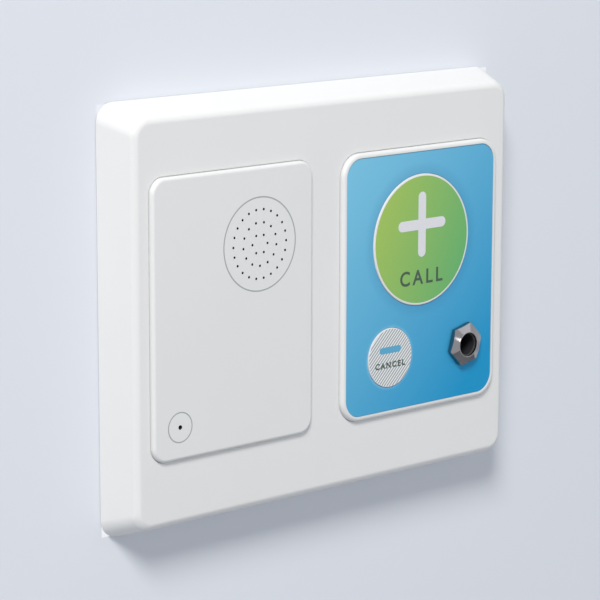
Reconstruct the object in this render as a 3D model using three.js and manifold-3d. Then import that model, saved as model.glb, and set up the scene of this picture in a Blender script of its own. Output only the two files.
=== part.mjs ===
// Nurse call socket: a wall plate with a speech module and a call module.
// Millimetres. X runs right as seen from the room, Z up, and Y into the wall, so fronts face -Y.
// The origin is the middle of the plate on the wall plane.

import * as THREE from "three";
import { mergeVertices } from "three/addons/utils/BufferGeometryUtils.js";
import Module from "manifold-3d";

const wasm = await Module();
wasm.setup();

// Clearances
const GAP = 0.3; // between pieces that seat on each other
const MODULE_CLEARANCE = 0.4; // frame aperture round a module cover
const PASS_CLEARANCE = 0.5; // bracket window round a rear cover
const OVER = 1; // how far a cutter runs past the face it opens

// Front frame
const FRAME_DEPTH = 12.4;
const FRAME_WALL = 2.4;
const FRAME_CORNER_R = 6;
const FRONT_INSET = 5.8; // rim to the edge of the flat front
const EDGE_R = 4.7;
const SIDE_MARGIN = 3.5; // flat front left beside each module
const MIDDLE_MARGIN = 12.5;
const TOP_MARGIN = 15.6;
const BOTTOM_MARGIN = 17.8;
const COLLAR_WALL = 1.5;
const RIB_T = 1.4;
const RIB_DEPTH = 3.4;

// Modules
const SPEECH_W = 62.9;
const CALL_W = 68;
const MODULE_PROUD = 1.4;
const MODULE_EDGE_R = 0.7;
const SPEECH_CORNER_R = 5;
const CALL_CORNER_R = 6;
const COVER_FRONT = 2;
const COVER_WALL = 1.8;
const FLANGE_REACH = 2.4;
const FLANGE_T = 1.8;
const POST_R = 2.6;
const POST_INSET = 4.2; // from a cover's sides to its posts

// Rear covers
const REAR_FLANGE_T = 1.3;
const REAR_STEP = 0.6; // rear body inside the cover's outline
const REAR_WALL = 1.6;
const REAR_DEPTH = 20;
const REAR_CORNER_R = 4;
const VENT_COUNT = 5;
const VENT_W = 1.6;
const VENT_L = 12;
const VENT_PITCH = 4;

// Wall bracket
const BRACKET_T = 2;
const BRACKET_CLEARANCE = 0.9; // inside the frame's walls
const BRACKET_CORNER_R = 3;
const FIXING_SIDE = 29; // frame's side to the fixing slots
const FIXING_OFF = 8.6; // modules to the fixing slots, above and below
const SLOT_L = 9;
const CLIP_W = 8;
const CLIP_T = 1.5;
const CLIP_EDGE = 3.4; // bracket edge to the middle of an ear
const EAR_RISE = 5.4;
const BARB = 0.8;
const BARB_H = 1.6;

// Screws
const CASE_SHANK_R = 1.15;
const CASE_HEAD_R = 2;
const CASE_HEAD_H = 1.4;
const WALL_SHANK_R = 2;
const WALL_HEAD_R = 4;
const WALL_HEAD_H = 2.4;
const WALL_SCREW_L = 25;
const COUNTERBORE = 2.6;

// Speaker, from the right and top sides of the speech module
const SPEAKER_SIDE = 21.65;
const SPEAKER_DROP = 23.4;
const SPEAKER_R = 16;
const SPEAKER_DEPTH = 10;
const SPEAKER_RIM = 2.4;
const GASKET_T = 0.8;
const SEAT_WALL = 1.4;
const SEAT_DEPTH = 2.2;
const MAGNET_R = 7.5;
const LUG_REACH = 4.6;
const LUG_R = 2.4;
const PINHOLE_R = 0.38;
const VOICE_R = 3.4;
const CONE_DEPTH = 3;
const CONE_WALL = 0.8;
const CONE_PROUD = 0.2; // cone's edge ahead of the basket's
const DUST_CAP_R = 2;
const GRILLE_RINGS = [
  { radius: 3, holes: 6, start: 0 },
  { radius: 6.6, holes: 13, start: -90 },
  { radius: 10.5, holes: 22, start: 0 },
];

// Microphone, from the left and bottom sides of the speech module
const MIC_SIDE = 9.95;
const MIC_LIFT = 10;
const MIC_HOLE_R = 0.6;
const MIC_R = 3;
const MIC_T = 2.7;
const BOOT_R = 4.4;
const BOOT_T = 4;

// Boards, with what they carry placed from their module's nearest sides
const BOARD_Y = 1;
const BOARD_T = 1.6;
const AMPLIFIER_W = 10;
const AMPLIFIER_H = 4;
const AMPLIFIER_T = 1.8;
const AMPLIFIER_SIDE = 19.45;
const AMPLIFIER_DROP = 28.3;
const CONTROLLER_W = 12;
const CONTROLLER_H = 8;
const CONTROLLER_T = 1.6;
const CONTROLLER_SIDE = 20;
const CHIP_LEG = 0.5;
const HEADER_PINS = 5;
const HEADER_PITCH = 2.54;
const HEADER_H = 8.8;
const HEADER_DEPTH = 8.5;
const HEADER_WALL = 1;
const PIN_W = 0.64;
const SPEECH_HEADER_LIFT = 32.3;
const CALL_HEADER_SIDE = 22;
const CALL_HEADER_LIFT = 24.3;
const CAPACITOR_R = 4;
const CAPACITOR_L = 10;
const CAPACITOR_GROOVE = 0.3;
const CAPACITOR_SIDE = 17.45;
const CAPACITOR_DROP = 22.3;

// Call module: the keys' and jack's places are from its nearest sides
const FASCIA_RIM = 1.6;
const FASCIA_T = 1;
const FASCIA_SINK = 0.2;
const FASCIA_CORNER_R = 4.6;
const CALL_FLOOR_T = 1.5;
const CALL_KEY_R = 21;
const CALL_KEY_DROP = 29.7;
const KEY_PITCH = 36.2; // call key's middle above the cancel key's
const CANCEL_KEY_R = 9.5;
const CANCEL_KEY_SIDE = 20.5;
const LOW_ROW_LIFT = 18.7; // cancel key and jack above the bottom side
const KEY_PROUD = 0.3;
const KEY_WEB = 1.6;
const KEY_WALL = 1.5;
const KEY_FLANGE_REACH = 1.6;
const KEY_FLANGE_T = 1;
const CALL_STEM_R = 3;
const CANCEL_STEM_R = 2.2;
const CALL_TRAVEL = 0.8;
const SWITCH_SIZE = 10;
const SWITCH_T = 4.2;
const PLUNGER_R = 1.6;
const PLUNGER_RISE = 1.4;

// Jack socket
const JACK_SIDE = 14.7;
const JACK_BORE_R = 3.3;
const BUSH_R = 4.7;
const BUSH_FLANGE_R = 6.2;
const BUSH_FLANGE_T = 1.2;
const BUSH_LIP = 0.5;
const NUT_FLATS = 12.4;
const NUT_T = 3;
const NUT_TURN = 25; // degrees
const NUT_CHAMFER = 0.9;
const WASHER_R = 7.2;
const WASHER_T = 0.5;
const JACK_W = 13;
const JACK_H = 15;
const JACK_L = 24;
const JACK_END_WALL = 1.4;
const LEAF_W = 3;
const LEAF_T = 0.5;
const TAIL = 3;

// Terminal block
const TERMINAL_WAYS = 4;
const TERMINAL_PITCH = 5;
const TERMINAL_H = 9;
const TERMINAL_DROP = 20.3;
const TERMINAL_SCREW_R = 1.5;

// Smoothness
const LARGE_R = 18;
const SMALL_R = 3;
const FINE_ROUND = 36;
const ROUND = 20;
const SMALL_ROUND = 8;
const CORNER_STEPS = 3;
const EDGE_STEPS = 4;

// Places worked out from the sizes above
const FRAME_FRONT = -FRAME_DEPTH;
const MODULE_FACE = FRAME_FRONT - MODULE_PROUD;
const COVER_BACK = MODULE_FACE + COVER_FRONT;
const MODULE_H = CALL_KEY_DROP + KEY_PITCH + LOW_ROW_LIFT;
const FLAT_W = SPEECH_W + CALL_W + MIDDLE_MARGIN + 2 * SIDE_MARGIN;
const FLAT_H = MODULE_H + TOP_MARGIN + BOTTOM_MARGIN;
const FRAME_W = FLAT_W + 2 * FRONT_INSET;
const FRAME_H = FLAT_H + 2 * FRONT_INSET;
const SPEECH_X = -FLAT_W / 2 + SIDE_MARGIN + SPEECH_W / 2;
const CALL_X = FLAT_W / 2 - SIDE_MARGIN - CALL_W / 2;
const MODULE_Z = -FLAT_H / 2 + BOTTOM_MARGIN + MODULE_H / 2;
const SPEAKER_X = SPEECH_W / 2 - SPEAKER_SIDE;
const SPEAKER_Z = MODULE_H / 2 - SPEAKER_DROP;
const MIC_X = -SPEECH_W / 2 + MIC_SIDE;
const MIC_Z = -MODULE_H / 2 + MIC_LIFT;
const CALL_KEY_Z = MODULE_H / 2 - CALL_KEY_DROP;
const LOW_ROW_Z = -MODULE_H / 2 + LOW_ROW_LIFT;
const CANCEL_KEY_X = -CALL_W / 2 + CANCEL_KEY_SIDE;
const JACK_X = CALL_W / 2 - JACK_SIDE;
const TERMINAL_Z = MODULE_H / 2 - TERMINAL_DROP;
const AMPLIFIER_X = -SPEECH_W / 2 + AMPLIFIER_SIDE;
const AMPLIFIER_Z = MODULE_H / 2 - AMPLIFIER_DROP;
const SPEECH_HEADER_Z = -MODULE_H / 2 + SPEECH_HEADER_LIFT;
const CAPACITOR_X = SPEECH_W / 2 - CAPACITOR_SIDE;
const CAPACITOR_Z = MODULE_H / 2 - CAPACITOR_DROP;
const CONTROLLER_X = -CALL_W / 2 + CONTROLLER_SIDE;
const CALL_HEADER_X = -CALL_W / 2 + CALL_HEADER_SIDE;
const CALL_HEADER_Z = -MODULE_H / 2 + CALL_HEADER_LIFT;
const REAR_FLANGE_Y = -BRACKET_T - GAP - REAR_FLANGE_T;
const FLANGE_BACK = REAR_FLANGE_Y - GAP;
const FLANGE_FRONT = FLANGE_BACK - FLANGE_T;
const COLLAR_END = FLANGE_FRONT - GAP;
const REAR_INSIDE = REAR_DEPTH - REAR_WALL;
const BOARD_BACK = BOARD_Y + BOARD_T;
const BRACKET_W = FRAME_W - 2 * (FRAME_WALL + BRACKET_CLEARANCE);
const BRACKET_H = FRAME_H - 2 * (FRAME_WALL + BRACKET_CLEARANCE);
const EAR_Z = BRACKET_H / 2 - CLIP_EDGE;
const CASE_HOLE_R = CASE_SHANK_R + GAP;
const FASCIA_FACE = MODULE_FACE + FASCIA_SINK;
const FASCIA_BACK = FASCIA_FACE + FASCIA_T;
const CALL_FLOOR = FASCIA_BACK + GAP;
const CALL_BACK = CALL_FLOOR + CALL_FLOOR_T;
const KEY_FACE = FASCIA_FACE - KEY_PROUD;
const KEY_FLANGE_Y = CALL_BACK + GAP;
const SWITCH_Y = BOARD_Y - GAP - SWITCH_T;
const PLUNGER_Y = SWITCH_Y - PLUNGER_RISE;
const NUT_BACK = FASCIA_FACE - GAP;
const NUT_FACE = NUT_BACK - NUT_T;
const WASHER_Y = CALL_BACK + GAP;
const BUSH_FLANGE_Y = WASHER_Y + WASHER_T + GAP;
const JACK_Y = BUSH_FLANGE_Y + BUSH_FLANGE_T + GAP;
const TERMINAL_W = TERMINAL_WAYS * TERMINAL_PITCH + 1;

// Materials
function look(color, roughness, metalness = 0) {
  return new THREE.MeshStandardMaterial({ color, roughness, metalness });
}
const whitePlastic = look(0xeef0f2, 0.45);
const bluePlastic = look(0x3f9fd2, 0.25);
const greenPlastic = look(0x86bd5a, 0.3);
const paleKey = look(0xdfe2e6, 0.4);
const innerPlastic = look(0xd9dbdd, 0.6);
const blackPlastic = look(0x1d1e20, 0.5);
const rubber = look(0x2a2b2d, 0.9);
const chrome = look(0xc9cbd0, 0.15, 1);
const steel = look(0x9a9da3, 0.4, 1);
const brass = look(0xc9a75a, 0.35, 1);
const board = look(0x1f6b3f, 0.5);
const terminalGreen = look(0x2f9a55, 0.5);
const paper = look(0x3a3a3c, 0.9);

// Solids

/** A closed three.js geometry as a solid, with its faces turned outwards. */
function solid(geometry) {
  const bare = geometry.clone();
  bare.deleteAttribute("normal");
  bare.deleteAttribute("uv");
  const merged = mergeVertices(bare, 1e-4);
  const xyz = merged.attributes.position.array;
  const corners = merged.index.array;
  const kept = [];
  const a = new THREE.Vector3();
  const b = new THREE.Vector3();
  const c = new THREE.Vector3();
  let volume = 0;
  for (let i = 0; i < corners.length; i += 3) {
    const [p, q, r] = corners.slice(i, i + 3);
    if (p === q || q === r || r === p) continue;
    kept.push(p, q, r);
    volume += a.fromArray(xyz, 3 * p).dot(b.fromArray(xyz, 3 * q).cross(c.fromArray(xyz, 3 * r)));
  }
  if (volume < 0) kept.reverse();
  return new wasm.Manifold(
    new wasm.Mesh({ numProp: 3, vertProperties: new Float32Array(xyz), triVerts: new Uint32Array(kept) }),
  );
}

/** A box between two corners. */
function block(x0, x1, y0, y1, z0, z1) {
  const box = new THREE.BoxGeometry(x1 - x0, y1 - y0, z1 - z0);
  return solid(box.translate((x0 + x1) / 2, (y0 + y1) / 2, (z0 + z1) / 2));
}

/** The sides that a circle is drawn with. */
function sides(radius) {
  if (radius > LARGE_R) return FINE_ROUND;
  return radius > SMALL_R ? ROUND : SMALL_ROUND;
}

/** A cylinder along Y. */
function rod(radius, y0, y1, x = 0, z = 0, segments = sides(radius)) {
  const form = new THREE.CylinderGeometry(radius, radius, y1 - y0, segments);
  return solid(form.translate(x, (y0 + y1) / 2, z));
}

/** A tube along Y. */
function tube(outer, inner, y0, y1, x = 0, z = 0) {
  const segments = sides(outer);
  return rod(outer, y0, y1, x, z, segments).subtract(rod(inner, y0 - OVER, y1 + OVER, x, z, segments));
}

/** A form turned about Y from [radius, y] points. */
function turned(points, segments = sides(Math.max(...points.map(([r]) => r)))) {
  return solid(new THREE.LatheGeometry(points.map(([r, y]) => new THREE.Vector2(r, y)), segments));
}

/** An outline in X and Z drawn out along Y. */
function drawn(shape, y0, y1, curveSegments) {
  const form = new THREE.ExtrudeGeometry(shape, { depth: y1 - y0, bevelEnabled: false, curveSegments });
  return solid(form.rotateX(Math.PI / 2).translate(0, y1, 0));
}

/** The outline of a rectangle with round corners. */
function roundedShape(width, height, radius) {
  const shape = new THREE.Shape();
  const x = width / 2 - radius;
  const z = height / 2 - radius;
  shape.absarc(x, z, radius, 0, Math.PI / 2);
  shape.absarc(-x, z, radius, Math.PI / 2, Math.PI);
  shape.absarc(-x, -z, radius, Math.PI, 1.5 * Math.PI);
  shape.absarc(x, -z, radius, 1.5 * Math.PI, 2 * Math.PI);
  shape.closePath();
  return shape;
}

/** A flat piece with round corners. */
function slab(width, height, radius, y0, y1, x = 0, z = 0, steps = CORNER_STEPS) {
  return drawn(roundedShape(width, height, radius), y0, y1, steps).translate(x, 0, z);
}

/** A form through rounded rectangles: levels of { y, width, height, radius }. */
function loft(levels) {
  const positions = [];
  const index = [];
  for (const { y, width, height, radius } of levels) {
    for (let corner = 0; corner < 4; corner += 1) {
      const sideX = corner === 0 || corner === 3 ? 1 : -1;
      const sideZ = corner < 2 ? 1 : -1;
      for (let step = 0; step <= CORNER_STEPS; step += 1) {
        const angle = (corner + step / CORNER_STEPS) * (Math.PI / 2);
        const x = sideX * (width / 2 - radius) + radius * Math.cos(angle);
        const z = sideZ * (height / 2 - radius) + radius * Math.sin(angle);
        positions.push(x, y, z);
      }
    }
  }
  const around = 4 * (CORNER_STEPS + 1);
  for (let level = 0; level + 1 < levels.length; level += 1) {
    for (let i = 0; i < around; i += 1) {
      const a = level * around + i;
      const b = level * around + ((i + 1) % around);
      index.push(a, b, a + around, b, b + around, a + around);
    }
  }
  const last = (levels.length - 1) * around;
  for (let i = 1; i + 1 < around; i += 1) {
    index.push(0, i + 1, i);
    index.push(last, last + i, last + i + 1);
  }
  const form = new THREE.BufferGeometry();
  form.setAttribute("position", new THREE.Float32BufferAttribute(positions, 3));
  form.setIndex(index);
  return solid(form);
}

/** A round-headed screw along Y: side is 1 with its head towards the room, and -1 towards the wall. */
function screw(headR, headH, shankR, length, headY, side) {
  const body = turned(
    [
      [0, 0],
      [headR * 0.72, 0],
      [headR, headH * 0.5],
      [headR, headH],
      [shankR, headH],
      [shankR, headH + length - shankR],
      [0, headH + length],
    ],
    8,
  );
  return body.scale([1, side, 1]).translate(0, headY, 0);
}

/** One solid from several. */
function joined(parts) {
  return parts.reduce((sum, next) => sum.add(next));
}

/** The four posts' places in a module. */
function postPlaces(width) {
  const x = width / 2 - POST_INSET;
  const z = MODULE_H / 2 - POST_INSET;
  return [
    [x, z],
    [-x, z],
    [-x, -z],
    [x, -z],
  ];
}

// Front frame

/** The frame's pillow form, or its inside when wall is above 0. */
function frameForm(wall, yBack) {
  const edge = EDGE_R - wall;
  const draft = FRONT_INSET - EDGE_R;
  const front = FRAME_FRONT + wall;
  const level = (y, inset) => ({
    y,
    width: FRAME_W - 2 * inset,
    height: FRAME_H - 2 * inset,
    radius: Math.max(FRAME_CORNER_R - inset, 0.4),
  });
  const levels = [level(yBack, wall)];
  for (let step = 0; step <= EDGE_STEPS; step += 1) {
    const angle = ((step / EDGE_STEPS) * Math.PI) / 2;
    const inset = wall + draft + edge * (1 - Math.cos(angle));
    levels.push(level(front + edge - edge * Math.sin(angle), inset));
  }
  return loft(levels);
}

/** A clip arm of the frame, with the barb that snaps into a bracket ear. */
function clipArm(x, side) {
  const root = FRAME_FRONT + FRAME_WALL - 0.2;
  const outer = EAR_Z - CLIP_T / 2 - GAP;
  const tip = -BRACKET_T - GAP;
  const barbY = -BRACKET_T - EAR_RISE / 2;
  const half = CLIP_W / 2 - GAP - 1;
  const arm = block(x - half, x + half, root, tip, outer - CLIP_T, outer);
  const barb = block(x - half, x + half, barbY - BARB_H / 2, barbY + BARB_H / 2, outer - 0.2, outer + BARB);
  return arm.add(barb).scale([1, 1, side]);
}

/** A rib between a collar and the frame's wall. */
function frameRib(x, side) {
  const near = side > 0 ? MODULE_Z + MODULE_H / 2 : -MODULE_Z + MODULE_H / 2;
  const start = near + MODULE_CLEARANCE + COLLAR_WALL / 2;
  const end = FRAME_H / 2 - FRAME_WALL / 2;
  const root = FRAME_FRONT + FRAME_WALL - 0.2;
  return block(x - RIB_T / 2, x + RIB_T / 2, root, root + RIB_DEPTH, start, end).scale([1, 1, side]);
}

function frontFrame() {
  let frame = frameForm(0, 0).subtract(frameForm(FRAME_WALL, OVER));
  const modules = [
    [SPEECH_W, SPEECH_CORNER_R, SPEECH_X],
    [CALL_W, CALL_CORNER_R, CALL_X],
  ];
  const ribs = [];
  for (const side of [-1, 1]) {
    for (const x of [SPEECH_X - SPEECH_W / 4, SPEECH_X + SPEECH_W / 4, CALL_X - CALL_W / 4, CALL_X + CALL_W / 4]) {
      ribs.push(frameRib(x, side));
    }
  }
  frame = frame.add(joined(ribs).intersect(frameForm(FRAME_WALL / 2, 0)));
  for (const [width, radius, x] of modules) {
    const reach = 2 * (MODULE_CLEARANCE + COLLAR_WALL);
    const outer = radius + MODULE_CLEARANCE + COLLAR_WALL;
    const top = FRAME_FRONT + FRAME_WALL / 2;
    frame = frame.add(slab(width + reach, MODULE_H + reach, outer, top, COLLAR_END, x, MODULE_Z));
  }
  for (const [width, radius, x] of modules) {
    const open = 2 * MODULE_CLEARANCE;
    const inner = radius + MODULE_CLEARANCE;
    frame = frame.subtract(
      slab(width + open, MODULE_H + open, inner, FRAME_FRONT - OVER, COLLAR_END + OVER, x, MODULE_Z),
    );
  }
  const arms = [];
  for (const side of [-1, 1]) {
    for (const x of [SPEECH_X, CALL_X]) arms.push(clipArm(x, side));
  }
  return frame.add(joined(arms));
}

// Wall bracket

/** An ear of the bracket, with the window that a clip's barb snaps into. */
function bracketEar(x, side) {
  const low = EAR_Z - CLIP_T / 2;
  const top = -BRACKET_T - EAR_RISE;
  const ear = block(x - CLIP_W / 2, x + CLIP_W / 2, top, -BRACKET_T / 2, low, low + CLIP_T);
  const half = CLIP_W / 2 - 1;
  const middle = -BRACKET_T - EAR_RISE / 2;
  const reach = BARB_H / 2 + GAP;
  const window = block(x - half, x + half, middle - reach, middle + reach, low - OVER, low + CLIP_T + OVER);
  return ear.subtract(window).scale([1, 1, side]);
}

function wallBracket() {
  let bracket = slab(BRACKET_W, BRACKET_H, BRACKET_CORNER_R, -BRACKET_T, 0);
  const ears = [];
  for (const side of [-1, 1]) {
    for (const x of [SPEECH_X, CALL_X]) ears.push(bracketEar(x, side));
  }
  bracket = bracket.add(joined(ears));
  for (const [width, x] of [
    [SPEECH_W, SPEECH_X],
    [CALL_W, CALL_X],
  ]) {
    const step = 2 * (PASS_CLEARANCE - REAR_STEP);
    const radius = REAR_CORNER_R + PASS_CLEARANCE;
    bracket = bracket.subtract(
      slab(width + step, MODULE_H + step, radius, -BRACKET_T - OVER, OVER, x, MODULE_Z),
    );
  }
  const slotR = WALL_SHANK_R + GAP;
  for (const [x, z] of fixingPlaces()) {
    bracket = bracket.subtract(slab(SLOT_L, 2 * slotR, slotR * 0.98, -BRACKET_T - OVER, OVER, x, z, 3));
  }
  return bracket;
}

/** The places of the four wall screws. */
function fixingPlaces() {
  const x = FRAME_W / 2 - FIXING_SIDE;
  const z = MODULE_Z + MODULE_H / 2 + FIXING_OFF;
  return [
    [x, z],
    [-x, z],
    [-x, -z],
    [x, -z],
  ];
}

function wallScrew() {
  return screw(WALL_HEAD_R, WALL_HEAD_H, WALL_SHANK_R, WALL_SCREW_L, -BRACKET_T - GAP - WALL_HEAD_H, 1);
}

// What both modules share

/** A module's cover: a tray open to the wall, with a flange that the frame holds down. */
function coverTray(width, radius, back) {
  const edge = (y, inset) => ({
    y,
    width: width - 2 * inset,
    height: MODULE_H - 2 * inset,
    radius: radius - inset,
  });
  const levels = [edge(FLANGE_BACK, 0)];
  for (let step = 0; step <= 3; step += 1) {
    const angle = ((step / 3) * Math.PI) / 2;
    const inset = MODULE_EDGE_R * (1 - Math.cos(angle));
    levels.push(edge(MODULE_FACE + MODULE_EDGE_R * (1 - Math.sin(angle)), inset));
  }
  const reach = 2 * FLANGE_REACH;
  const flange = slab(width + reach, MODULE_H + reach, radius + FLANGE_REACH, FLANGE_FRONT, FLANGE_BACK, 0, 0);
  const wall = 2 * COVER_WALL;
  const inside = slab(width - wall, MODULE_H - wall, radius - COVER_WALL, back, FLANGE_BACK + OVER);
  const posts = joined(postPlaces(width).map(([x, z]) => rod(POST_R, back - 0.2, BOARD_Y - GAP, x, z)));
  const pilots = postPlaces(width).map(([x, z]) => rod(CASE_HOLE_R, back + 0.8, BOARD_Y, x, z));
  const fit = 2 * (REAR_STEP + REAR_WALL + GAP);
  const room = slab(width - fit, MODULE_H - fit, REAR_CORNER_R - REAR_WALL - GAP, FLANGE_BACK - 0.1, BOARD_Y);
  return loft(levels)
    .add(flange)
    .subtract(inside)
    .add(posts.intersect(slab(width, MODULE_H, radius, MODULE_FACE, FLANGE_BACK)))
    .add(posts.intersect(room))
    .subtract(joined(pilots));
}

/** A module's rear cover: a box open to the room, with a flange and bosses for the case screws. */
function rearBox(width, radius) {
  const outerW = width - 2 * REAR_STEP;
  const outerH = MODULE_H - 2 * REAR_STEP;
  const reach = 2 * FLANGE_REACH;
  const body = slab(outerW, outerH, REAR_CORNER_R, REAR_FLANGE_Y, REAR_DEPTH);
  const flange = slab(
    width + reach,
    MODULE_H + reach,
    radius + FLANGE_REACH,
    REAR_FLANGE_Y,
    REAR_FLANGE_Y + REAR_FLANGE_T,
  );
  const inside = slab(
    outerW - 2 * REAR_WALL,
    outerH - 2 * REAR_WALL,
    REAR_CORNER_R - REAR_WALL,
    REAR_FLANGE_Y - OVER,
    REAR_INSIDE,
  );
  const places = postPlaces(width);
  const bosses = places.map(([x, z]) => rod(POST_R + 1, BOARD_BACK + GAP, REAR_INSIDE + 0.2, x, z, SMALL_ROUND));
  const holes = places.map(([x, z]) => rod(CASE_HOLE_R, BOARD_BACK, REAR_DEPTH + OVER, x, z));
  const sinks = places.map(([x, z]) => rod(CASE_HEAD_R + GAP, REAR_DEPTH - COUNTERBORE, REAR_DEPTH + OVER, x, z));
  return body
    .add(flange)
    .subtract(inside)
    .add(joined(bosses).intersect(body))
    .subtract(joined(holes))
    .subtract(joined(sinks));
}

/** The slots that let a rear cover breathe, low on its back wall. */
function vents(z) {
  const slots = [];
  for (let i = 0; i < VENT_COUNT; i += 1) {
    const x = (i - (VENT_COUNT - 1) / 2) * VENT_PITCH;
    slots.push(slab(VENT_W, VENT_L, VENT_W * 0.49, REAR_INSIDE - OVER, REAR_DEPTH + OVER, x, z, 2));
  }
  return joined(slots);
}

function caseScrew() {
  const headBack = REAR_DEPTH - COUNTERBORE + GAP + CASE_HEAD_H;
  const tip = COVER_BACK + 3;
  return screw(CASE_HEAD_R, CASE_HEAD_H, CASE_SHANK_R, headBack - CASE_HEAD_H - tip, headBack, -1);
}

/** A module's circuit board, held between the posts and the bosses. */
function circuitBoard(width) {
  const margin = 2 * (REAR_STEP + REAR_WALL + GAP);
  const blank = slab(width - margin, MODULE_H - margin, 2, BOARD_Y, BOARD_BACK);
  const holes = postPlaces(width).map(([x, z]) => rod(CASE_HOLE_R, BOARD_Y - OVER, BOARD_BACK + OVER, x, z));
  return blank.subtract(joined(holes));
}

/** A chip in its package, with its rows of legs fused to it. */
function chip(width, height, thickness, legs, x, z) {
  const y0 = BOARD_BACK + GAP;
  const half = CHIP_LEG / 2;
  const reach = height / 2 + 2 * CHIP_LEG;
  const low = y0 + 0.4 * CHIP_LEG;
  const parts = [block(x - width / 2, x + width / 2, low, y0 + thickness, z - height / 2, z + height / 2)];
  for (let i = 0; i < legs; i += 1) {
    const legX = x + (i - (legs - 1) / 2) * (width / legs);
    parts.push(block(legX - half, legX + half, y0, y0 + 1.2 * CHIP_LEG, z - reach, z + reach));
  }
  return joined(parts);
}

/** A shrouded pin header behind a board. */
function pinHeader(x, z) {
  const halfW = (HEADER_PINS * HEADER_PITCH) / 2 + 2 * HEADER_WALL;
  const halfH = HEADER_H / 2;
  const y0 = BOARD_BACK + GAP;
  const y1 = y0 + HEADER_DEPTH;
  const wellW = halfW - HEADER_WALL;
  const wellH = halfH - HEADER_WALL;
  const floor = y0 + 2 * HEADER_WALL;
  const box = block(x - halfW, x + halfW, y0, y1, z - halfH, z + halfH);
  const well = block(x - wellW, x + wellW, floor, y1 + OVER, z - wellH, z + wellH);
  const half = PIN_W / 2;
  const root = floor - HEADER_WALL / 2;
  const tip = y1 - 1.5 * HEADER_WALL;
  const rows = [];
  for (let i = 0; i < HEADER_PINS; i += 1) {
    for (const row of [-1, 1]) {
      const pinX = x + (i - (HEADER_PINS - 1) / 2) * HEADER_PITCH;
      const pinZ = z + (row * HEADER_PITCH) / 2;
      rows.push(block(pinX - half, pinX + half, root, tip, pinZ - half, pinZ + half));
    }
  }
  return box.subtract(well).add(joined(rows));
}

// Speech module

/** The places of the speaker retainer's two lugs, from the middle of the module. */
function lugPlaces() {
  return [135, 315].map((degrees) => {
    const angle = THREE.MathUtils.degToRad(degrees);
    const reach = SPEAKER_R + LUG_REACH;
    return [SPEAKER_X + reach * Math.cos(angle), SPEAKER_Z + reach * Math.sin(angle)];
  });
}

/** The pinholes of the speaker grille, ring by ring. */
function pinholes() {
  const holes = [];
  for (const { radius, holes: count, start } of GRILLE_RINGS) {
    for (let i = 0; i < count; i += 1) {
      const angle = THREE.MathUtils.degToRad(start + (i * 360) / count);
      const x = SPEAKER_X + radius * Math.cos(angle);
      const z = SPEAKER_Z + radius * Math.sin(angle);
      holes.push(rod(PINHOLE_R, MODULE_FACE - OVER, COVER_BACK + OVER, x, z, 6));
    }
  }
  return joined(holes);
}

function speechCover() {
  const seat = tube(
    SPEAKER_R + GAP + SEAT_WALL,
    SPEAKER_R + GAP,
    COVER_BACK - 0.2,
    COVER_BACK + SEAT_DEPTH,
    SPEAKER_X,
    SPEAKER_Z,
  );
  const micSeat = tube(
    BOOT_R + GAP + 1,
    BOOT_R + GAP,
    COVER_BACK - 0.2,
    COVER_BACK + SEAT_DEPTH,
    MIC_X,
    MIC_Z,
  );
  const bosses = lugPlaces().map(([x, z]) => rod(LUG_R, COVER_BACK - 0.2, retainerY() - GAP, x, z));
  const pilots = lugPlaces().map(([x, z]) => rod(CASE_HOLE_R, COVER_BACK + 0.6, retainerY(), x, z));
  const keepClear = rod(SPEAKER_R + GAP, COVER_BACK, 0, SPEAKER_X, SPEAKER_Z);
  return coverTray(SPEECH_W, SPEECH_CORNER_R, COVER_BACK)
    .add(seat)
    .add(micSeat)
    .add(joined(bosses))
    .subtract(keepClear)
    .subtract(joined(pilots))
    .subtract(pinholes())
    .subtract(rod(MIC_HOLE_R, MODULE_FACE - OVER, COVER_BACK + OVER, MIC_X, MIC_Z));
}

/** Front of the gasket, of the basket's rim and of the retainer behind it. */
function gasketY() {
  return COVER_BACK + GAP;
}
function basketY() {
  return gasketY() + GASKET_T + GAP;
}
function retainerY() {
  return basketY() + 1 + GAP;
}

function speakerGasket() {
  return tube(SPEAKER_R, SPEAKER_R - SPEAKER_RIM, gasketY(), gasketY() + GASKET_T);
}

/** The pressed basket: rim, cone and back plate, with four windows. */
function speakerBasket() {
  const y0 = basketY();
  const back = y0 + SPEAKER_DEPTH * 0.55;
  const throat = MAGNET_R + 1;
  const mouth = SPEAKER_R - SPEAKER_RIM;
  const basket = turned([
    [mouth, y0],
    [SPEAKER_R, y0],
    [SPEAKER_R, y0 + 1],
    [mouth + 0.6, y0 + 1],
    [throat, back],
    [4, back],
    [4, back - 0.8],
    [throat - 0.6, back - 0.8],
    [mouth - 0.4, y0 + 0.6],
    [mouth, y0],
  ]);
  const windows = [];
  for (let i = 0; i < 4; i += 1) {
    const angle = (i + 0.5) * (Math.PI / 2);
    const r = (mouth + throat) / 2 + 0.6;
    windows.push(rod(2, y0 + 1.4, back - 1, r * Math.cos(angle), r * Math.sin(angle)));
  }
  return basket.subtract(joined(windows));
}

/** The paper cone with its dust cap, hung just inside the basket's mouth. */
function speakerCone() {
  const y0 = basketY() - CONE_PROUD;
  const cap = y0 + 0.4 * CONE_DEPTH;
  const mouth = SPEAKER_R - SPEAKER_RIM - GAP - 0.1;
  return turned([
    [0, cap],
    [DUST_CAP_R, cap + 0.2],
    [VOICE_R + 0.2, y0 + CONE_DEPTH - CONE_WALL],
    [mouth - 1.5 * CONE_WALL, y0],
    [mouth, y0],
    [VOICE_R, y0 + CONE_DEPTH],
    [0, y0 + CONE_DEPTH],
  ]);
}

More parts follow.
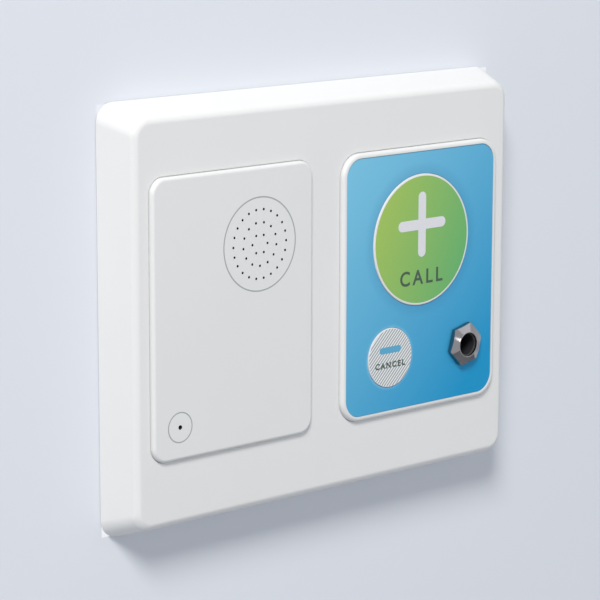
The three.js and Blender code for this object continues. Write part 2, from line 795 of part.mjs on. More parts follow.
/** The magnet in its pot, behind the basket, with the pole that stands in the voice coil. */
function speakerMagnet() {
  const y0 = basketY() + SPEAKER_DEPTH * 0.55 + GAP;
  const y1 = basketY() + SPEAKER_DEPTH;
  return turned([
    [0, y0 - 0.8],
    [3.4, y0 - 0.8],
    [3.4, y0],
    [MAGNET_R, y0],
    [MAGNET_R, y1 - 0.6],
    [MAGNET_R - 0.6, y1],
    [0, y1],
  ]);
}

/** The ring that holds the speaker to the cover by two lugs. */
function speakerRetainer() {
  const y0 = retainerY();
  const y1 = y0 + 1.2;
  let ring = rod(SPEAKER_R, y0, y1, SPEAKER_X, SPEAKER_Z);
  for (const [x, z] of lugPlaces()) {
    const dx = x - SPEAKER_X;
    const dz = z - SPEAKER_Z;
    const arm = new THREE.BoxGeometry(Math.hypot(dx, dz), y1 - y0, 2 * LUG_R);
    arm.rotateY(-Math.atan2(dz, dx)).translate(SPEAKER_X + dx / 2, (y0 + y1) / 2, SPEAKER_Z + dz / 2);
    ring = ring.add(solid(arm)).add(rod(LUG_R, y0, y1, x, z));
  }
  ring = ring.subtract(rod(SPEAKER_R - SPEAKER_RIM + 0.8, y0 - OVER, y1 + OVER, SPEAKER_X, SPEAKER_Z));
  for (const [x, z] of lugPlaces()) ring = ring.subtract(rod(CASE_HOLE_R, y0 - OVER, y1 + OVER, x, z));
  return ring;
}

function retainerScrew() {
  const headBack = retainerY() + 1.2 + GAP + CASE_HEAD_H;
  return screw(CASE_HEAD_R, CASE_HEAD_H, CASE_SHANK_R, headBack - CASE_HEAD_H - COVER_BACK - 1, headBack, -1);
}

/** The rubber boot round the microphone, open at its front by a small hole. */
function microphoneBoot() {
  const y0 = COVER_BACK + GAP;
  const pocket = rod(MIC_R + GAP, y0 + 0.8, y0 + BOOT_T + OVER);
  return rod(BOOT_R, y0, y0 + BOOT_T).subtract(pocket).subtract(rod(MIC_HOLE_R, y0 - OVER, y0 + OVER));
}

function microphoneCapsule() {
  const y0 = COVER_BACK + GAP + 0.8 + GAP;
  const pins = [-1, 1].map((side) => rod(0.35, y0 + MIC_T - 0.2, y0 + MIC_T + 1.4, side * 1.27, 0, 6));
  const inlet = rod(0.9, y0 - OVER, y0 + 0.4);
  return rod(MIC_R, y0, y0 + MIC_T).subtract(inlet).add(joined(pins));
}

/** The smoothing capacitor, standing on the board. */
function speechCapacitor() {
  const y0 = BOARD_BACK + GAP;
  const y1 = y0 + CAPACITOR_L;
  const edge = CAPACITOR_R * 0.1;
  const groove = CAPACITOR_GROOVE;
  return turned(
    [
      [0, y0],
      [CAPACITOR_R - edge, y0],
      [CAPACITOR_R, y0 + edge],
      [CAPACITOR_R, y0 + 4 * groove],
      [CAPACITOR_R - groove, y0 + 5 * groove],
      [CAPACITOR_R, y0 + 6 * groove],
      [CAPACITOR_R, y1 - edge],
      [CAPACITOR_R - edge, y1],
      [0, y1],
    ],
    SMALL_ROUND,
  );
}

function speechRearCover() {
  return rearBox(SPEECH_W, SPEECH_CORNER_R).subtract(vents(-MODULE_H / 4));
}

// Call module

/** Holes for both keys and the jack, each wider than its piece by clear. */
function callHoles(y0, y1, clear) {
  return joined([
    rod(CALL_KEY_R + clear, y0, y1, 0, CALL_KEY_Z),
    rod(CANCEL_KEY_R + clear, y0, y1, CANCEL_KEY_X, LOW_ROW_Z),
    rod(BUSH_R + clear, y0, y1, JACK_X, LOW_ROW_Z),
  ]);
}

function callCover() {
  const w = CALL_W - 2 * FASCIA_RIM + 2 * GAP;
  const h = MODULE_H - 2 * FASCIA_RIM + 2 * GAP;
  const pocket = slab(w, h, FASCIA_CORNER_R + GAP, MODULE_FACE - OVER, CALL_FLOOR);
  return coverTray(CALL_W, CALL_CORNER_R, CALL_BACK)
    .subtract(pocket)
    .subtract(callHoles(CALL_FLOOR - OVER, CALL_BACK + OVER, GAP));
}

/** The blue fascia, let into the cover behind its rim. */
function callFascia() {
  const w = CALL_W - 2 * FASCIA_RIM;
  const h = MODULE_H - 2 * FASCIA_RIM;
  const face = slab(w, h, FASCIA_CORNER_R, FASCIA_FACE, FASCIA_BACK);
  return face.subtract(callHoles(FASCIA_FACE - OVER, FASCIA_BACK + OVER, GAP));
}

/** A round key: face, skirt, the flange that stops it behind the cover, and its stem. */
function roundKey(radius, stemR, ribs) {
  const inside = radius - KEY_WALL;
  const webBack = KEY_FACE + KEY_WEB;
  const end = KEY_FLANGE_Y + KEY_FLANGE_T;
  const body = turned(
    [
      [0, KEY_FACE],
      [radius - 0.3, KEY_FACE],
      [radius, KEY_FACE + 0.3],
      [radius, KEY_FLANGE_Y],
      [radius + KEY_FLANGE_REACH, KEY_FLANGE_Y],
      [radius + KEY_FLANGE_REACH, end],
      [inside, end],
      [inside, webBack],
      [stemR, webBack],
      [stemR, PLUNGER_Y - GAP],
      [0, PLUNGER_Y - GAP],
    ],
  );
  const spokes = [];
  for (let i = 0; i < ribs; i += 1) {
    const reach = inside + KEY_WALL / 2;
    const rib = new THREE.BoxGeometry(reach, end - webBack, 1.2);
    rib.translate(reach / 2, (end + webBack) / 2 - 0.3, 0).rotateY((i * 2 * Math.PI) / ribs);
    spokes.push(solid(rib));
  }
  return body.add(joined(spokes));
}

/** A push switch's body, with the bore that its plunger runs in. */
function switchBody() {
  const half = SWITCH_SIZE / 2;
  const box = block(-half, half, SWITCH_Y, BOARD_Y - GAP, -half, half);
  const bore = rod(PLUNGER_R + GAP, SWITCH_Y - OVER, SWITCH_Y + plungerDepth() + CALL_TRAVEL + GAP);
  return box.subtract(bore);
}

/** How far a plunger reaches into its switch at rest. */
function plungerDepth() {
  return 0.8;
}

function switchPlunger() {
  return rod(PLUNGER_R, PLUNGER_Y, SWITCH_Y + plungerDepth());
}

function callBoard() {
  const w = JACK_W / 2 + GAP;
  const h = JACK_H / 2 + GAP;
  return circuitBoard(CALL_W).subtract(
    block(JACK_X - w, JACK_X + w, BOARD_Y - OVER, BOARD_BACK + OVER, LOW_ROW_Z - h, LOW_ROW_Z + h),
  );
}

/** The threaded bush of the jack, with its bore and the flange that clamps it behind the cover. */
function jackBush() {
  const front = NUT_FACE + GAP;
  return turned([
    [JACK_BORE_R, front + BUSH_LIP],
    [JACK_BORE_R + BUSH_LIP, front],
    [BUSH_R - 0.3, front],
    [BUSH_R, front + 0.3],
    [BUSH_R, BUSH_FLANGE_Y],
    [BUSH_FLANGE_R, BUSH_FLANGE_Y],
    [BUSH_FLANGE_R, BUSH_FLANGE_Y + BUSH_FLANGE_T],
    [JACK_BORE_R, BUSH_FLANGE_Y + BUSH_FLANGE_T],
    [JACK_BORE_R, front + BUSH_LIP],
  ]);
}

/** The hexagon nut: a prism cut back to a cone at its face. */
function jackNut() {
  const corner = NUT_FLATS / 2 / Math.cos(Math.PI / 6);
  const prism = rod(corner, NUT_FACE, NUT_BACK, 0, 0, 6);
  const cone = turned(
    [
      [0, NUT_FACE],
      [NUT_FLATS / 2 - NUT_CHAMFER, NUT_FACE],
      [corner + OVER, NUT_FACE + (corner + OVER - NUT_FLATS / 2 + NUT_CHAMFER) * 0.8],
      [corner + OVER, NUT_BACK + OVER],
      [0, NUT_BACK + OVER],
    ],
  );
  const bore = rod(BUSH_R + GAP, NUT_FACE - OVER, NUT_BACK + OVER);
  return prism.rotate([0, NUT_TURN, 0]).intersect(cone).subtract(bore);
}

function jackLockWasher() {
  return tube(WASHER_R, BUSH_R + GAP, WASHER_Y, WASHER_Y + WASHER_T);
}

/** The jack's leaf contacts: the way each faces, the body's half size there, and where it starts and ends. */
function leafPlaces() {
  const end = JACK_Y + JACK_L - JACK_END_WALL;
  return [
    { name: "tip_contact", turn: 0, reach: JACK_H / 2, tip: end - 9, tail: end - 1.5 },
    { name: "ring_contact", turn: 180, reach: JACK_H / 2, tip: JACK_Y + 6, tail: JACK_Y + 17 },
    { name: "sleeve_contact", turn: 90, reach: JACK_W / 2, tip: JACK_Y + 1, tail: JACK_Y + 13 },
  ];
}

/** The jack's moulded body: bore for the plug, and a channel for each leaf. */
function jackBody() {
  const end = JACK_Y + JACK_L;
  const body = slab(JACK_W, JACK_H, 1.5, JACK_Y, end);
  const bore = rod(JACK_BORE_R, JACK_Y - OVER, end - JACK_END_WALL);
  const half = LEAF_W / 2 + GAP;
  const channels = leafPlaces().map(({ turn, reach, tip, tail }) => {
    const front = tip - LEAF_T - GAP;
    const back = tail + LEAF_T / 2 + GAP;
    return block(-half, half, front, back, JACK_BORE_R * 0.8, reach + OVER).rotate([0, turn, 0]);
  });
  return body.subtract(bore).subtract(joined(channels));
}

/** A strip along a bent line of [y, z] points. */
function bentStrip(line, thickness, width) {
  const parts = [];
  for (let i = 0; i + 1 < line.length; i += 1) {
    const [y0, z0] = line[i];
    const [y1, z1] = line[i + 1];
    const run = new THREE.BoxGeometry(width, Math.hypot(y1 - y0, z1 - z0), thickness);
    run.rotateX(Math.atan2(z1 - z0, y1 - y0)).translate(0, (y0 + y1) / 2, (z0 + z1) / 2);
    parts.push(solid(run));
    if (i === 0) continue;
    const bend = new THREE.CylinderGeometry(thickness / 2, thickness / 2, width, 6);
    parts.push(solid(bend.rotateZ(Math.PI / 2).translate(0, y0, z0)));
  }
  return joined(parts);
}

/** A leaf contact: bent in to the bore at its tip, and out through the body at its tail. */
function leafContact({ turn, reach, tip, tail }) {
  const rest = reach - 2;
  const near = JACK_BORE_R + LEAF_T;
  const line = [
    [tip, near + 1],
    [tip + 1.3, near],
    [tip + 2.1, near],
    [tip + 5, rest],
    [tail, rest],
    [tail, reach + TAIL],
  ];
  return bentStrip(line, LEAF_T, LEAF_W).rotate([0, turn, 0]);
}

/** The places of the terminals along the block. */
function terminalPlaces() {
  return Array.from({ length: TERMINAL_WAYS }, (_, i) => (i - (TERMINAL_WAYS - 1) / 2) * TERMINAL_PITCH);
}

/** The terminal block: a screw well and a wire entry for each way. */
function terminalBlock() {
  const y0 = BOARD_BACK + GAP;
  const y1 = REAR_INSIDE - GAP;
  const half = TERMINAL_H / 2;
  let body = block(-TERMINAL_W / 2, TERMINAL_W / 2, y0, y1, -half, half);
  for (const x of terminalPlaces()) {
    const well = rod(TERMINAL_SCREW_R + GAP, terminalScrewY() - 3, y1 + OVER, x, 0);
    const entry = block(x - 1.6, x + 1.6, y0 + 2, y0 + 5.6, half - 4, half + OVER);
    body = body.subtract(well).subtract(entry);
  }
  return body;
}

/** Seat of the terminal screws' heads. */
function terminalScrewY() {
  return REAR_INSIDE - 4;
}

/** A terminal's screw, with a plain slot. */
function terminalScrew() {
  const seat = terminalScrewY();
  const head = 1.8;
  const body = turned(
    [
      [0, seat - 2.4],
      [TERMINAL_SCREW_R * 0.7, seat - 2.4],
      [TERMINAL_SCREW_R * 0.7, seat],
      [TERMINAL_SCREW_R, seat],
      [TERMINAL_SCREW_R, seat + head],
      [0, seat + head],
    ],
    SMALL_ROUND,
  );
  const slot = block(-TERMINAL_SCREW_R - OVER, TERMINAL_SCREW_R + OVER, seat + 1, seat + head + OVER, -0.25, 0.25);
  return body.subtract(slot);
}

function callRearCover() {
  const w = TERMINAL_W / 2 + GAP;
  const low = TERMINAL_Z - TERMINAL_H / 2 - GAP;
  const high = TERMINAL_Z + TERMINAL_H / 2 + 5;
  const window = block(-w, w, REAR_INSIDE - OVER, REAR_DEPTH + OVER, low, high);
  return rearBox(CALL_W, CALL_CORNER_R).subtract(window).subtract(vents(-MODULE_H / 4));
}

// The assembly

/** A group at a place on the wall, in its parent. */
function place(parent, x, z) {
  const group = new THREE.Group();
  group.position.set(x, 0, z);
  parent.add(group);
  return group;
}

/** A named piece of the socket. */
function piece(parent, name, form, material, x = 0, z = 0) {
  const { numProp, vertProperties, triVerts } = form.getMesh();
  const geometry = new THREE.BufferGeometry();
  geometry.setAttribute("position", new THREE.BufferAttribute(new Float32Array(vertProperties), numProp));
  geometry.setIndex(new THREE.BufferAttribute(new Uint32Array(triVerts), 1));
  geometry.computeVertexNormals();
  const mesh = new THREE.Mesh(geometry, material);
  mesh.name = name;
  mesh.position.set(x, 0, z);
  parent.add(mesh);
}

/** Copies of one piece at a list of [x, z] places, numbered from 1. */
function copies(parent, name, form, material, places) {
  places.forEach(([x, z], i) => piece(parent, `${name}_${i + 1}`, form, material, x, z));
}

const socket = new THREE.Group();
piece(socket, "front_frame", frontFrame(), whitePlastic);
piece(socket, "wall_bracket", wallBracket(), steel);
copies(socket, "wall_screw", wallScrew(), steel, fixingPlaces());

const speech = place(socket, SPEECH_X, MODULE_Z);
piece(speech, "speech_cover", speechCover(), whitePlastic);
piece(speech, "speech_board", circuitBoard(SPEECH_W), board);
piece(
  speech,
  "speech_amplifier",
  chip(AMPLIFIER_W, AMPLIFIER_H, AMPLIFIER_T, 5, AMPLIFIER_X, AMPLIFIER_Z),
  blackPlastic,
);
piece(speech, "speech_header", pinHeader(0, SPEECH_HEADER_Z), blackPlastic);
piece(speech, "speech_capacitor", speechCapacitor(), blackPlastic, CAPACITOR_X, CAPACITOR_Z);
piece(speech, "speech_rear_cover", speechRearCover(), innerPlastic);
copies(speech, "speech_case_screw", caseScrew(), steel, postPlaces(SPEECH_W));
piece(speech, "speaker_retainer", speakerRetainer(), steel);
copies(speech, "retainer_screw", retainerScrew(), steel, lugPlaces());

const speaker = place(speech, SPEAKER_X, SPEAKER_Z);
piece(speaker, "speaker_gasket", speakerGasket(), rubber);
piece(speaker, "speaker_basket", speakerBasket(), steel);
piece(speaker, "speaker_cone", speakerCone(), paper);
piece(speaker, "speaker_magnet", speakerMagnet(), steel);

const microphone = place(speech, MIC_X, MIC_Z);
piece(microphone, "microphone_boot", microphoneBoot(), rubber);
piece(microphone, "microphone_capsule", microphoneCapsule(), steel);

const call = place(socket, CALL_X, MODULE_Z);
piece(call, "call_cover", callCover(), whitePlastic);
piece(call, "call_fascia", callFascia(), bluePlastic);
piece(call, "call_key", roundKey(CALL_KEY_R, CALL_STEM_R, 6), greenPlastic, 0, CALL_KEY_Z);
piece(call, "call_switch", switchBody(), blackPlastic, 0, CALL_KEY_Z);
piece(call, "call_switch_plunger", switchPlunger(), paleKey, 0, CALL_KEY_Z);
piece(call, "cancel_key", roundKey(CANCEL_KEY_R, CANCEL_STEM_R, 3), paleKey, CANCEL_KEY_X, LOW_ROW_Z);
piece(call, "cancel_switch", switchBody(), blackPlastic, CANCEL_KEY_X, LOW_ROW_Z);
piece(call, "cancel_switch_plunger", switchPlunger(), paleKey, CANCEL_KEY_X, LOW_ROW_Z);
piece(call, "call_board", callBoard(), board);
piece(
  call,
  "call_controller",
  chip(CONTROLLER_W, CONTROLLER_H, CONTROLLER_T, 6, CONTROLLER_X, 0),
  blackPlastic,
);
piece(call, "call_header", pinHeader(CALL_HEADER_X, CALL_HEADER_Z), blackPlastic);
piece(call, "call_rear_cover", callRearCover(), innerPlastic);
copies(call, "call_case_screw", caseScrew(), steel, postPlaces(CALL_W));

const jack = place(call, JACK_X, LOW_ROW_Z);
piece(jack, "jack_nut", jackNut(), chrome);
piece(jack, "jack_bush", jackBush(), chrome);
piece(jack, "jack_lock_washer", jackLockWasher(), steel);
piece(jack, "jack_body", jackBody(), blackPlastic);
for (const leaf of leafPlaces()) piece(jack, leaf.name, leafContact(leaf), brass);

const terminals = place(call, 0, TERMINAL_Z);
piece(terminals, "terminal_block", terminalBlock(), terminalGreen);
copies(
  terminals,
  "terminal_screw",
  terminalScrew(),
  steel,
  terminalPlaces().map((x) => [x, 0]),
);

export default socket;
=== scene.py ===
import math

import bmesh
import bpy
from mathutils import Euler, Matrix, Vector


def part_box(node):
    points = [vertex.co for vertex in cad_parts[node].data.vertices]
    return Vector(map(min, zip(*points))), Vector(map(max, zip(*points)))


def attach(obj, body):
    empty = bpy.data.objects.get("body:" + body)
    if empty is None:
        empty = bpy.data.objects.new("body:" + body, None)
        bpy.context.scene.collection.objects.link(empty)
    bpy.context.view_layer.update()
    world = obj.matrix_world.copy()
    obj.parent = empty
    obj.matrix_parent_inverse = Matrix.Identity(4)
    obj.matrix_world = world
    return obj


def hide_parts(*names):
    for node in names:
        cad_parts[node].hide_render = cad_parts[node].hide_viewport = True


bl_info = {
    "name": "Nurse call socket",
    "version": (1, 0, 0),
    "blender": (4, 5, 0),
    "location": "3D View > Sidebar > Call Socket",
    "description": "Builds a wall-mounted nurse call socket, piece by piece, round its packed solids",
    "category": "Object",
}

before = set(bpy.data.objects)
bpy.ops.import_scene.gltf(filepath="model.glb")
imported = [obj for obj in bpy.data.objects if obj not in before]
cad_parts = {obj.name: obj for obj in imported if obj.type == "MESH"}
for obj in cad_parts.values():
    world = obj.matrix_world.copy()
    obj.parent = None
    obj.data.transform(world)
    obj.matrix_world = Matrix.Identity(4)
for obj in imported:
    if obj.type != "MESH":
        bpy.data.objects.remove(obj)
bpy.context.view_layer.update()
MM = 0.001


def extent(node):
    """Middle and size of a solid's box, as two vectors."""
    low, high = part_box(node)
    return (low + high) / 2, high - low


FRAME_SIZE = extent("front_frame")[1]
SPEECH_MID, SPEECH_SIZE = extent("speech_cover")
CALL_MID, CALL_SIZE = extent("call_cover")
CALL_KEY_MID, CALL_KEY_SIZE = extent("call_key")
CANCEL_KEY_MID, CANCEL_KEY_SIZE = extent("cancel_key")
FASCIA_MID, FASCIA_SIZE = extent("call_fascia")
BUSH_MID = extent("jack_bush")[0]
BRACKET_SIZE = extent("wall_bracket")[1]
SPEAKER_MID = extent("speaker_gasket")[0]
MIC_MID = extent("microphone_capsule")[0]

OVER = 1.0 * MM  # how far a cutter runs past what it opens
ROOT = 0.2 * MM  # how far a form starts inside what carries it

# Front frame and bracket
COLLAR_END = -6.0 * MM
RIB_HALF = 0.7 * MM
RIB_DEPTH = 3.4 * MM
RIB_INSET = 4.4 * MM  # from the rim to the ribs' outer ends
EAR_INSET = 3.4 * MM  # from the bracket's edge to the middle of its ears
EAR_HALF = 0.75 * MM
EAR_HALF_WIDTH = 4.0 * MM
EAR_TOP, EAR_ROOT = -7.4 * MM, -1.0 * MM
EAR_ROUND = 1.2 * MM
CATCH_HALF_WIDTH = 3.0 * MM  # the window in an ear that a barb snaps into
CATCH_FRONT, CATCH_BACK = -5.8 * MM, -3.6 * MM
ARM_HALF_WIDTH = 2.7 * MM
ARM_GAP = 0.3 * MM
ARM_THICK = 1.5 * MM
ARM_END = -2.3 * MM
BARB_FRONT, BARB_BACK = -5.5 * MM, -3.9 * MM
BARB_REACH = 0.8 * MM
BARB_EDGE = 0.45 * MM
BRACKET_THICK = 2.0 * MM
BRACKET_CORNER = 3.0 * MM
BRACKET_EDGE = 0.3 * MM
BRACKET_WINDOW_CORNER = 4.5 * MM
SLOT_LENGTH, SLOT_WIDTH, SLOT_END = 9.0 * MM, 4.6 * MM, 2.28 * MM

# Modules
FLANGE = 2.4 * MM  # reach of a module's flange past its sides
FLANGE_THICK = 1.8 * MM
COVER_BACK = -3.9 * MM
POST_INSET = 4.2 * MM  # from a module's sides to its screw posts
POST_RADIUS = 2.6 * MM
POST_END = 0.7 * MM
POST_CHAMFER = 0.3 * MM
PILOT_RADIUS = 1.45 * MM
PILOT_FLOOR = 1.4 * MM
SPEECH_FACE = 2.0 * MM  # thickness behind the speech cover's face
SPEAKER_SEAT, SPEAKER_ROOM = 17.7 * MM, 16.3 * MM
MIC_SEAT, MIC_ROOM = 5.7 * MM, 4.7 * MM
SEAT_RISE = 2.2 * MM
ROOM_DEPTH = 4.0 * MM
BOSS_RADIUS = 2.4 * MM
BOSS_END = -9.4 * MM
GRILLE_RINGS = ((3.0 * MM, 6, 0.0), (6.6 * MM, 13, -90.0), (10.5 * MM, 22, 0.0))
MIC_HOLE = 0.7 * MM
MIC_RING = 4.5 * MM
RING_PROUD, RING_SUNK = 0.012 * MM, 0.02 * MM
FASCIA_GAP = 0.3 * MM
CALL_FLOOR = 1.5 * MM  # thickness of the call cover under its fascia
POCKET_SLACK = 0.1 * MM
CALL_KEY_HOLE, CANCEL_KEY_HOLE, BUSH_HOLE = 21.1 * MM, 9.6 * MM, 5.0 * MM
REAR_STEP = 0.6 * MM  # rear cover's body inside the front cover's outline
REAR_CORNER = 4.0 * MM
REAR_EDGE = 0.9 * MM
REAR_FLANGE_THICK = 1.3 * MM
REAR_WALL = 1.6 * MM
REAR_BOSS_RADIUS = 3.6 * MM
REAR_BOSS_FRONT = 2.9 * MM
SINK_RADIUS, SINK_MOUTH = 2.3 * MM, 2.8 * MM
SINK_FLOOR = 2.6 * MM
SINK_FLARE = 0.25 * MM
VENT_WIDTH, VENT_HEIGHT, VENT_END = 1.6 * MM, 12.0 * MM, 0.78 * MM
VENT_PITCH = 4.0 * MM
VENT_COUNT = 5

# Keys
KEY_ROUND = 0.3 * MM
KEY_FLANGE = 1.6 * MM  # reach of a key's flange past its sides
KEY_FLANGE_FRONT, KEY_FLANGE_BACK = -10.5 * MM, -9.5 * MM
KEY_WALL = 1.5 * MM
KEY_WEB = 1.6 * MM
CALL_STEM, CANCEL_STEM = 3.0 * MM, 2.2 * MM
STEM_CHAMFER = 0.3 * MM
PRINT_PROUD, PRINT_SUNK = 0.02 * MM, 0.05 * MM
LETTER_BOLD = 0.11 * MM  # how far the letters are thickened
CAPITALS = 0.729  # height of a capital at text size 1
CALL_WORD_DROP = 14.3 * MM
MINUS_RISE = 2.5 * MM
CANCEL_WORD_DROP = 2.3 * MM

# Jack
NUT_BORE = 4.85 * MM
NUT_FLOOR = 0.5 * MM
NUT_LIP_ROUND = 0.1 * MM
BUSH_BORE = 3.3 * MM
BUSH_RADIUS = 4.7 * MM
BUSH_SET_BACK = 0.7 * MM  # bush's front behind the nut's lip
BUSH_FLANGE = 6.2 * MM
BUSH_FLANGE_THICK = 1.2 * MM
BUSH_FLANGE_CHAMFER = 0.15 * MM

# Stage, as the photograph was taken
STAGE_SIZE = 6
WALL_GAP = 0.3 * MM
RECESS_INSET = 0.5 * MM
CAMERA_PLACE = (-0.5432, -0.5947, 0.1532)
CAMERA_ANGLES = (42.32, 10.97, 0.15)  # yaw, pitch and roll in degrees
CAMERA_LENS = 158.04
# name, direction, distance, size, power and tint
LAMPS = (
    ("key", (-0.52, -0.50, 0.73), 2.2, 0.7, 42.0, (1.0, 0.985, 0.96)),
    ("catch", (0.05, -1.0, 0.14), 1.5, 0.3, 1.4, (1.0, 1.0, 1.0)),
    ("fill", (0.75, -0.9, 0.25), 2.4, 1.6, 4.0, (0.92, 0.96, 1.0)),
)


# Settings


def length(name, description, default):
    return bpy.props.FloatProperty(
        name=name, description=description, default=default, unit="LENGTH", precision=5, min=0.0
    )


def colour(name, description, default):
    return bpy.props.FloatVectorProperty(
        name=name, description=description, default=default, subtype="COLOR", size=3, min=0.0, max=1.0
    )


class CallSocketPlate(bpy.types.PropertyGroup):
    """Sizes of the front frame and the wall bracket."""

    corner: length("Corner radius", "Rounding of the frame's four corners at the wall", 6.0 * MM)
    front_inset: length("Front inset", "From the rim to the edge of the flat front", 5.8 * MM)
    slant: length("Slant", "How far the sides lean in between the rim and the front", 3.98 * MM)
    wall: length("Wall", "Thickness of the frame's moulding", 2.4 * MM)
    clearance: length("Clearance", "Gap between an aperture and its module", 0.06 * MM)
    collar: length("Collar", "Thickness of the collars behind the apertures", 1.5 * MM)
    lip: length("Lip", "Rounding of an aperture's front edge", 0.45 * MM)


class CallSocketModules(bpy.types.PropertyGroup):
    """Sizes of the two modules."""

    speech_corner: length("Speech corner", "Corner radius of the speech cover", 5.0 * MM)
    call_corner: length("Call corner", "Corner radius of the call cover", 7.4 * MM)
    edge: length("Edge radius", "Rounding round a cover's face", 1.1 * MM)
    wall: length("Wall", "Thickness of a cover's sides", 1.8 * MM)
    rim: length("Rim", "White rim round the fascia", 1.6 * MM)
    fascia_corner: length("Fascia corner", "Corner radius of the fascia", 5.9 * MM)
    pinhole: length("Pinhole radius", "Radius of the grille's holes", 0.4 * MM)
    grille_line: length("Grille line radius", "Radius of the printed ring round the grille", 14.2 * MM)
    print_line: length("Printed line", "Width of the printed rings", 0.42 * MM)


class CallSocketKeys(bpy.types.PropertyGroup):
    """Sizes of the keys, their legends and the jack."""

    call_ring: length("Call ring", "White ring round the call key's green face", 0.66 * MM)
    plus_span: length("Plus span", "Length of the plus sign's bars", 20.8 * MM)
    plus_bar: length("Plus bar", "Width of the plus sign's bars", 3.3 * MM)
    plus_rise: length("Plus height", "Plus sign above the call key's middle", 4.9 * MM)
    call_letters: length("Call letters", "Height of the word on the call key", 4.8 * MM)
    call_word: length("Call word", "Width of the word on the call key", 18.9 * MM)
    cancel_letters: length("Cancel letters", "Height of the word on the cancel key", 2.0 * MM)
    cancel_word: length("Cancel word", "Width of the word on the cancel key", 13.1 * MM)
    minus_span: length("Minus span", "Length of the minus sign", 9.4 * MM)
    minus_bar: length("Minus bar", "Width of the minus sign", 2.1 * MM)
    nut_flats: length("Nut flats", "Across the flats of the jack's nut", 12.4 * MM)
    nut_side: length("Nut side", "Height of the nut's sides at its corners", 1.25 * MM)
    nut_height: length("Nut height", "From the fascia to the nut's front lip", 2.5 * MM)
    nut_hole: length("Nut hole", "Radius of the hole in the nut's front", 3.85 * MM)
    nut_turn: bpy.props.FloatProperty(
        name="Nut turn",
        description="How far the nut is turned",
        default=math.radians(16),
        subtype="ANGLE",
    )


class CallSocketColours(bpy.types.PropertyGroup):
    """Colours of the visible finishes."""

    plate: colour("Plate", "White of the frame", (0.80, 0.80, 0.795))
    cover: colour("Cover", "White of the module covers", (0.78, 0.785, 0.78))
    blue_light: colour("Light blue", "Fascia at its top left", (0.205, 0.565, 0.775))
    blue_deep: colour("Deep blue", "Fascia at its bottom right", (0.0, 0.295, 0.585))
    green_light: colour("Light green", "Call key at its left", (0.36, 0.53, 0.06))
    green_deep: colour("Deep green", "Call key at its right", (0.05, 0.39, 0.115))
    legend: colour("Legend", "Dark legends", (0.05, 0.09, 0.06))
    sign: colour("Plus sign", "Pale sign on the call key", (0.80, 0.80, 0.84))
    minus: colour("Minus sign", "Blue sign on the cancel key", (0.105, 0.41, 0.64))
    wall: colour("Wall", "The wall behind the socket", (0.775, 0.805, 0.86))


def settings():
    scene = bpy.context.scene
    return scene.call_socket_plate, scene.call_socket_modules, scene.call_socket_keys


# Hand tools


def deselect():
    active = bpy.context.view_layer.objects.active
    if active and active.mode != "OBJECT":
        bpy.ops.object.mode_set(mode="OBJECT")
    bpy.ops.object.select_all(action="DESELECT")


def take(piece, *others):
    """Makes a piece the only active one, with any others selected beside it."""
    deselect()
    for each in (piece, *others):
        each.select_set(True)
    bpy.context.view_layer.objects.active = piece
    return piece


def settle(name):
    """Names the new piece and puts its place into its mesh."""
    piece = bpy.context.view_layer.objects.active
    take(piece)
    bpy.ops.object.transform_apply(location=True, rotation=True, scale=True)
    piece.name = name
    piece.data.name = name
    return piece


def block(name, low, high):
    deselect()
    low, high = Vector(low), Vector(high)
    bpy.ops.mesh.primitive_cube_add(size=1, location=(low + high) / 2, scale=high - low)
    return settle(name)


def rod(name, radius, y0, y1, x=0.0, z=0.0, sides=48):
    deselect()
    bpy.ops.mesh.primitive_cylinder_add(
        vertices=sides,
        radius=radius,
        depth=y1 - y0,
        location=(x, (y0 + y1) / 2, z),
        rotation=(math.pi / 2, 0, 0),
    )
    return settle(name)


class Edit:
    """Edit mode on one piece, with picking of its faces, edges or points by a test."""

    def __init__(self, piece):
        self.piece = piece

    def __enter__(self):
        take(self.piece)
        bpy.ops.object.mode_set(mode="EDIT")
        bpy.ops.mesh.select_all(action="DESELECT")
        return self

    def __exit__(self, *problem):
        bpy.ops.object.mode_set(mode="OBJECT")

    def pick(self, kind, test):
        modes = {"edges": "EDGE", "faces": "FACE"}
        bpy.ops.mesh.select_mode(type=modes[kind])
        bpy.ops.mesh.select_all(action="DESELECT")
        mesh = bmesh.from_edit_mesh(self.piece.data)
        count = 0
        for part in getattr(mesh, kind):
            if test(part):
                part.select_set(True)
                count += 1
        if kind == "edges":
            mesh.select_flush_mode()
        bmesh.update_edit_mesh(self.piece.data)
        if not count:
            raise RuntimeError(f"{self.piece.name}: nothing picked")
        return self

    def faces(self, test):
        return self.pick("faces", test)

    def edges(self, test):
        return self.pick("edges", test)


def near(value, target, slack=2e-5):
    return abs(value - target) < slack


def at_y(level):
    """A test for faces that lie at one depth."""
    return lambda face: all(near(v.co.y, level) for v in face.verts)


def edge_at_y(level):
    return lambda edge: all(near(v.co.y, level) for v in edge.verts)


def edge_along_y(edge):
    a, b = (v.co for v in edge.verts)
    return near(a.x, b.x) and near(a.z, b.z) and abs(a.y - b.y) > 1e-5


def round_edges(piece, test, width, segments=4):
    with Edit(piece) as edit:
        edit.edges(test)
        bpy.ops.mesh.bevel(offset=width, offset_type="OFFSET", segments=segments, profile=0.5)
    return piece


def plate(name, width, height, radius, y0, y1, x=0.0, z=0.0, steps=12):
    """A block with round corners, seen from the front."""
    piece = block(name, (x - width / 2, y0, z - height / 2), (x + width / 2, y1, z + height / 2))
    return round_edges(piece, edge_along_y, radius, steps)


